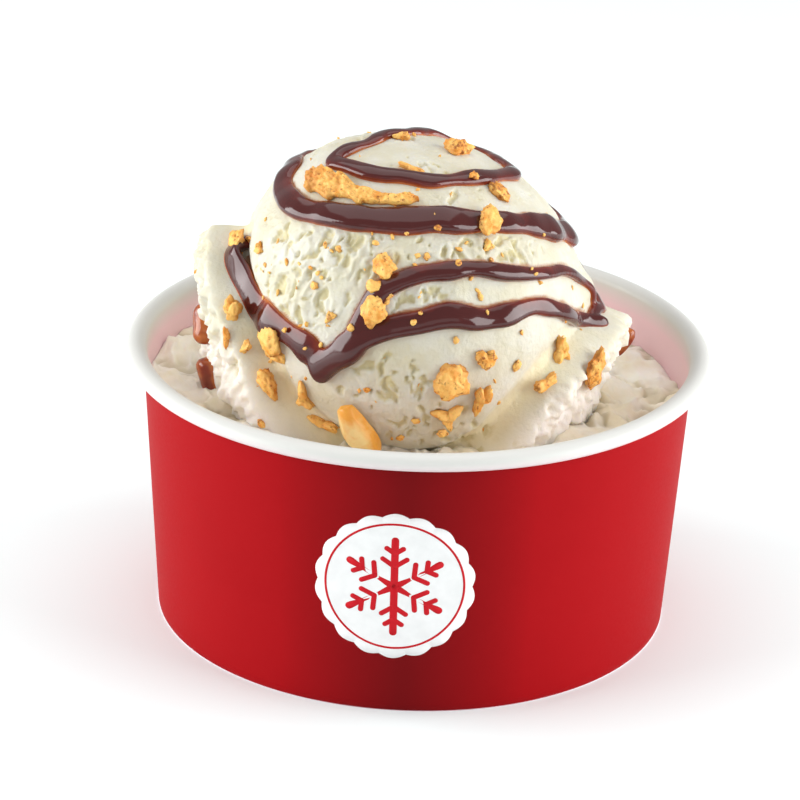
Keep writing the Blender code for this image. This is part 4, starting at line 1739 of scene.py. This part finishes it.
@dataclass
class DustCrumbs:
    """The finest crumbs, strewn over the scoop by a node tree with a fixed seed."""

    per_square_metre: float = 42000.0
    smallest: float = 0.16
    largest: float = 0.42
    seed: int = 11
    least_shape: tuple[float, float, float] = (0.8, 0.5, 0.4)
    most_shape: tuple[float, float, float] = (1.7, 0.9, 0.7)
    roughness: float = 0.7
    rough_scale: float = 2600.0

    def tree(self) -> tuple[bpy.types.NodeTree, dict[str, str]]:
        """Build the tree that strews crumbs on a surface.

        Returns:
            The tree, and the identifier of each named input.
        """
        tree = bpy.data.node_groups.new("strewn_crumbs", "GeometryNodeTree")
        sockets = {
            "Surface": "Geometry", "Per Square Metre": "Float", "Smallest": "Float",
            "Largest": "Float", "Seed": "Int", "Finish": "Material",
        }
        names = {}
        for name, kind in sockets.items():
            kind = f"NodeSocket{kind}"
            names[name] = tree.interface.new_socket(name, socket_type=kind).identifier
        tree.interface.new_socket("Crumbs", in_out="OUTPUT", socket_type="NodeSocketGeometry")
        board = NodeBoard(tree)
        given = board.add("NodeGroupInput").outputs
        share = board.add("GeometryNodeInputNamedAttribute", {"Name": "crumb_share"})
        amount = {0: given["Per Square Metre"], 1: share.outputs["Attribute"]}
        amount = board.add("ShaderNodeMath", amount, operation="MULTIPLY")
        strew = {"Mesh": given["Surface"], "Density": amount.outputs[0], "Seed": given["Seed"]}
        strew = board.add("GeometryNodeDistributePointsOnFaces", strew)
        grain = board.add("GeometryNodeMeshIcoSphere", {"Radius": 1.0, "Subdivisions": 2})
        size = {2: given["Smallest"], 3: given["Largest"], "Seed": given["Seed"]}
        size = board.add("FunctionNodeRandomValue", size, data_type="FLOAT")
        shape = {0: self.least_shape, 1: self.most_shape}
        shape = board.add("FunctionNodeRandomValue", shape, data_type="FLOAT_VECTOR")
        scale = {0: shape.outputs[0], "Scale": size.outputs[1]}
        scale = board.add("ShaderNodeVectorMath", scale, operation="SCALE")
        turn = {1: (math.tau, math.tau, math.tau)}
        turn = board.add("FunctionNodeRandomValue", turn, data_type="FLOAT_VECTOR")
        place = {
            "Points": strew.outputs["Points"], "Instance": grain.outputs["Mesh"],
            "Rotation": turn.outputs[0], "Scale": scale.outputs[0],
        }
        place = board.add("GeometryNodeInstanceOnPoints", place)
        real = board.add("GeometryNodeRealizeInstances", {0: place.outputs[0]})
        rough = board.add("ShaderNodeTexNoise", {"Scale": self.rough_scale})
        shift = {0: rough.outputs["Color"], 1: (0.5, 0.5, 0.5)}
        shift = board.add("ShaderNodeVectorMath", shift, operation="SUBTRACT")
        shift = {0: shift.outputs[0], "Scale": self.roughness * MM}
        shift = board.add("ShaderNodeVectorMath", shift, operation="SCALE")
        move = {"Geometry": real.outputs[0], "Offset": shift.outputs[0]}
        move = board.add("GeometryNodeSetPosition", move)
        finish = {"Geometry": move.outputs[0], "Material": given["Finish"]}
        finish = board.add("GeometryNodeSetMaterial", finish)
        board.add("NodeGroupOutput", {0: finish.outputs[0]})
        return tree, names

    def dress(self, surface: Piece) -> None:
        """Strew the crumbs over a surface, as one plain piece.

        Args:
            surface: The piece that they lie on.
        """
        finish = Toasted("toasted_dust", Roast.GOLDEN).make()
        thing = bpy.data.objects.new("dust_crumbs", surface.data)
        bpy.context.scene.collection.objects.link(thing)
        tree, names = self.tree()
        strewn = thing.modifiers.new("strewn", "NODES")
        strewn.node_group = tree
        strewn[names["Per Square Metre"]] = self.per_square_metre
        strewn[names["Smallest"]] = self.smallest * MM
        strewn[names["Largest"]] = self.largest * MM
        strewn[names["Seed"]] = self.seed
        strewn[names["Finish"]] = finish
        freeze(thing)
        thing.data.name = "dust_crumbs"
        settle(thing, finish, "toasted_topping")


@dataclass
class ToastedFlake:
    """The large flat flake between the two upper bands."""

    form: ScoopForm
    thick: float = 1.0
    gap: float = 0.2
    along: int = 96
    across: int = 34
    grain_reach: float = 27.0
    bite_low: float = 0.26
    bite_high: float = 0.30
    rough: tuple[Layer, ...] = ((0.35, 1.7, 75.0), (0.4, 0.75, 77.0), (0.3, 0.4, 79.0))
    # The lower and the upper edge, as (bearing, elevation).
    low: Marks = (
        (-61, 48), (-54, 48.5), (-43, 49.5), (-32, 50.5),
        (-24, 51.5), (-12, 52.5), (-3, 53), (3, 53.5),
    )
    high: Marks = (
        (-67, 51), (-73, 55), (-61, 57.5), (-43, 58),
        (-27, 56), (-13, 55.5), (-3, 56.5), (3, 56.5),
    )

    def rail(self, marks: Marks) -> Array:
        """Give unit vectors at even steps along one edge.

        Args:
            marks: The edge as (bearing, elevation).

        Returns:
            The vectors.
        """
        given = np.array(marks, dtype=float)
        at = np.linspace(0, len(given) - 1, self.along)
        part = np.arange(len(given))
        return direction(np.interp(at, part, given[:, 0]), np.interp(at, part, given[:, 1]))

    def skin(self) -> Faces:
        """Give the faces of its outer side, its inner side and its edge.

        Returns:
            The faces.
        """
        count, faces = self.along * self.across, []
        for i in range(self.along - 1):
            for k in range(self.across - 1):
                here, there = i * self.across + k, (i + 1) * self.across + k
                quad = (here, there, there + 1, here + 1)
                faces += [quad, tuple(count + n for n in quad[::-1])]
        last, wide = self.along - 1, self.across - 1
        border = [(i, 0) for i in range(last)] + [(last, k) for k in range(wide)]
        border += [(i, wide) for i in range(last, 0, -1)] + [(0, k) for k in range(wide, 0, -1)]
        rail = [i * self.across + k for i, k in border]
        for here, there in zip(rail, rail[1:] + rail[:1]):
            faces.append((here, there, there + count, here + count))
        return faces

    def dress(self) -> None:
        """Build the flake and give it its finish."""
        low, high = self.rail(self.low), self.rail(self.high)
        u = np.linspace(0, 1, self.along)[:, None]
        v = np.linspace(0, 1, self.across)[None, :]
        reach = self.grain_reach
        tail = smoothstep(0.86, 1.0, u) * 0.38
        bite_low = self.bite_low * lumps(low * reach, 1.5, 71.0)[:, None] + tail
        bite_high = self.bite_high * lumps(high * reach, 1.4, 73.0)[:, None] - tail
        share = (bite_low * (1 - v) + bite_high * v + v)[..., None]
        ways = unit(low[:, None] * (1 - share) + high[:, None] * share)
        rim = np.minimum(np.minimum(u, 1 - u) * 40, np.minimum(v, 1 - v) * 12).clip(0, 1)
        dome = np.sqrt(1 - (1 - rim) ** 2)
        flat = ways * reach
        rise = self.gap + 0.15 + self.thick * (0.25 + 0.75 * dome)
        outer = self.form.point(ways, rise + layered(flat, *self.rough) * dome)
        inner = self.form.point(ways, self.gap + 0 * dome)
        points = np.concatenate([outer.reshape(-1, 3), inner.reshape(-1, 3)])
        thing = solid_object("golden_flake", points, self.skin())
        brown = smoothstep(0.40, 0.16, u + 0.25 * lumps(flat, 2.0, 87.0))
        brown = brown + smoothstep(0.90, 0.98, u) + 0 * v
        paint(thing, "browned", np.tile(np.clip(brown, 0, 1).ravel(), 2))
        outward(thing)
        finish = Toasted("toasted_flake", Roast.GOLDEN).make()
        settle(thing, finish, "toasted_topping", "toasted_flake")


@dataclass
class RoastedNut:
    """The large nut that lies on the front of the scoop."""

    form: ScoopForm
    bearing: float = -16.0
    elevation: float = -25.0
    length: float = 10.2
    width: float = 4.8
    thick: float = 3.2
    turn: float = -70.0
    gap: float = 0.3
    squareness: float = 2.5
    seed: int = 5
    cuts: int = 11
    lumpy: tuple[Layer, ...] = ((0.07, 0.7, 81.0), (0.03, 0.25, 83.0))

    def dress(self) -> None:
        """Build the nut and give it its finish."""
        ways, faces = ball_net(5)
        size = (np.abs(ways) ** self.squareness).sum(axis=1) ** (-1 / self.squareness)
        size = size * (1 + layered(ways, *self.lumpy))
        size = cut_facets(ways, size, self.seed, self.cuts, 0.94, 1.06)
        x, y, z = (ways * size[:, None]).T
        y = y * (0.84 + 0.16 * smoothstep(-1, 0.6, x))
        way, long_axis, cross_axis = axes_at(self.bearing, self.elevation, self.turn)
        spot = way * float(self.form.radius(way[None])[0])
        spot = spot + long_axis * (x * self.length / 2)[:, None]
        spot = spot + cross_axis * (y * self.width / 2)[:, None]
        lift = self.gap + self.thick * (0.32 + 0.68 * np.where(z > 0, z, z * 0.45))
        thing = solid_object("roasted_nut", self.form.point(unit(spot), lift), faces)
        side = smoothstep(0.45, 0.95, np.hypot(x * 0.9, y)) * smoothstep(-0.3, 0.4, y)
        tip = smoothstep(0.45, 1.0, -x) + side
        paint(thing, "rind", np.clip(tip * 0.9, 0, 1))
        settle(thing, NutSkin().make(), "toasted_nut", "toasted_nut")


@dataclass(frozen=True)
class SoftBox:
    """A flat studio light: where it stands, what it faces, its size and its strength."""

    name: str
    place: tuple[float, float, float]
    aim: tuple[float, float, float]
    wide: float
    high: float
    power: float

    def hang(self) -> None:
        """Put the light in the scene."""
        lamp = bpy.data.lights.new(self.name, "AREA")
        lamp.shape = "RECTANGLE"
        lamp.size, lamp.size_y = self.wide, self.high
        lamp.energy = self.power
        thing = bpy.data.objects.new(self.name, lamp)
        thing.location = self.place
        heading = Vector(self.aim) - Vector(self.place)
        thing.rotation_euler = heading.to_track_quat("-Z", "Y").to_euler()
        bpy.context.scene.collection.objects.link(thing)


@dataclass
class Studio:
    """A pale floor, soft lights and the camera."""

    distance: float = 600.0
    rise: float = 23.35
    roll: float = 1.89
    focal: float = 3779.0
    aim: tuple[float, float, float] = (-2.66, 0.0, 34.15)
    eye_lift: float = 30.0
    frame_width: int = 800
    floor_half: float = 1500.0
    air: float = 0.40
    sensor: float = 36.0
    pale: Colour = (0.89, 0.97, 0.97, 1)
    paler: Colour = (0.90, 0.98, 0.98, 1)
    boxes: tuple[SoftBox, ...] = (
        SoftBox("overhead", (0.0, 0.18, 0.73), (0.0, 0.0, 0.05), 0.9, 0.8, 2.3),
        SoftBox("front_fill", (0.10, -0.66, 0.36), (0.0, 0.0, 0.04), 0.7, 0.24, 0.3),
        SoftBox("left_side", (-0.65, -0.06, 0.23), (0.0, 0.0, 0.03), 0.68, 0.44, 5.4),
        SoftBox("right_side", (0.64, -0.10, 0.23), (0.0, 0.0, 0.03), 0.70, 0.44, 5.3),
    )

    def lay_floor(self) -> None:
        """Lay the pale floor."""
        corners = np.array([(-1, -1, 0), (1, -1, 0), (1, 1, 0), (-1, 1, 0)]) * self.floor_half
        floor = solid_object("pale_floor", corners, [(0, 1, 2, 3)])
        sheet = NodeSheet("pale_floor")
        tone = sheet.spread(sheet.grain(90, 2), 0.4, 0.6)
        sheet.set(Base_Color=sheet.blend(tone, self.pale, self.paler), Roughness=0.9)
        sheet.set(Specular_IOR_Level=0.0)
        floor.data.materials.append(sheet.material)

    def set_air(self) -> None:
        """Set the even light from all round."""
        world = bpy.data.worlds.new("studio_air")
        world.use_nodes = True
        air = world.node_tree.nodes["Background"]
        air.inputs["Color"].default_value = (1.0, 1.0, 1.0, 1.0)
        air.inputs["Strength"].default_value = self.air
        bpy.context.scene.world = world

    def place_camera(self) -> None:
        """Set the camera where the photograph was taken from."""
        rise, roll = math.radians(self.rise), math.radians(self.roll)
        back = self.distance * math.cos(rise)
        eye = Vector((0, -back, self.distance * math.sin(rise) + self.eye_lift)) * MM
        forward = (Vector(self.aim) * MM - eye).normalized()
        right = forward.cross(Vector((0, 0, 1))).normalized()
        up = right.cross(forward)
        across = math.cos(roll) * right + math.sin(roll) * up
        above = math.cos(roll) * up - math.sin(roll) * right
        turned = Matrix((across, above, -forward)).transposed().to_4x4()
        turned.translation = eye
        lens = bpy.data.cameras.new("camera")
        lens.sensor_width = self.sensor
        lens.lens = self.focal / self.frame_width * lens.sensor_width
        lens.clip_start = 0.01
        camera = bpy.data.objects.new("camera", lens)
        camera.matrix_world = turned
        bpy.context.scene.collection.objects.link(camera)
        bpy.context.scene.camera = camera

    def prepare(self) -> None:
        """Set up the whole studio."""
        bpy.context.scene.view_settings.view_transform = "Standard"
        self.lay_floor()
        self.set_air()
        for box in self.boxes:
            box.hang()
        self.place_camera()


def main() -> None:
    """Build and dress every piece in order."""
    logging.basicConfig(level=logging.INFO, format="%(name)s %(message)s")
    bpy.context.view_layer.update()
    Studio().prepare()
    form = ScoopForm()
    tub = PaperTub()
    tub.dress()
    tub.dress_base()
    SnowBadge(tub).dress()
    TubFilling(form, tub).dress()
    sauce = SaucePour(form)
    sauce.follow()
    cream = CreamScoop(form, sauce).dress()
    sauce.dress()
    ToastedCrumbs(form, sauce).dress()
    DustCrumbs().dress(cream)
    ToastedFlake(form).dress()
    RoastedNut(form).dress()


if __name__ == "__main__":
    main()
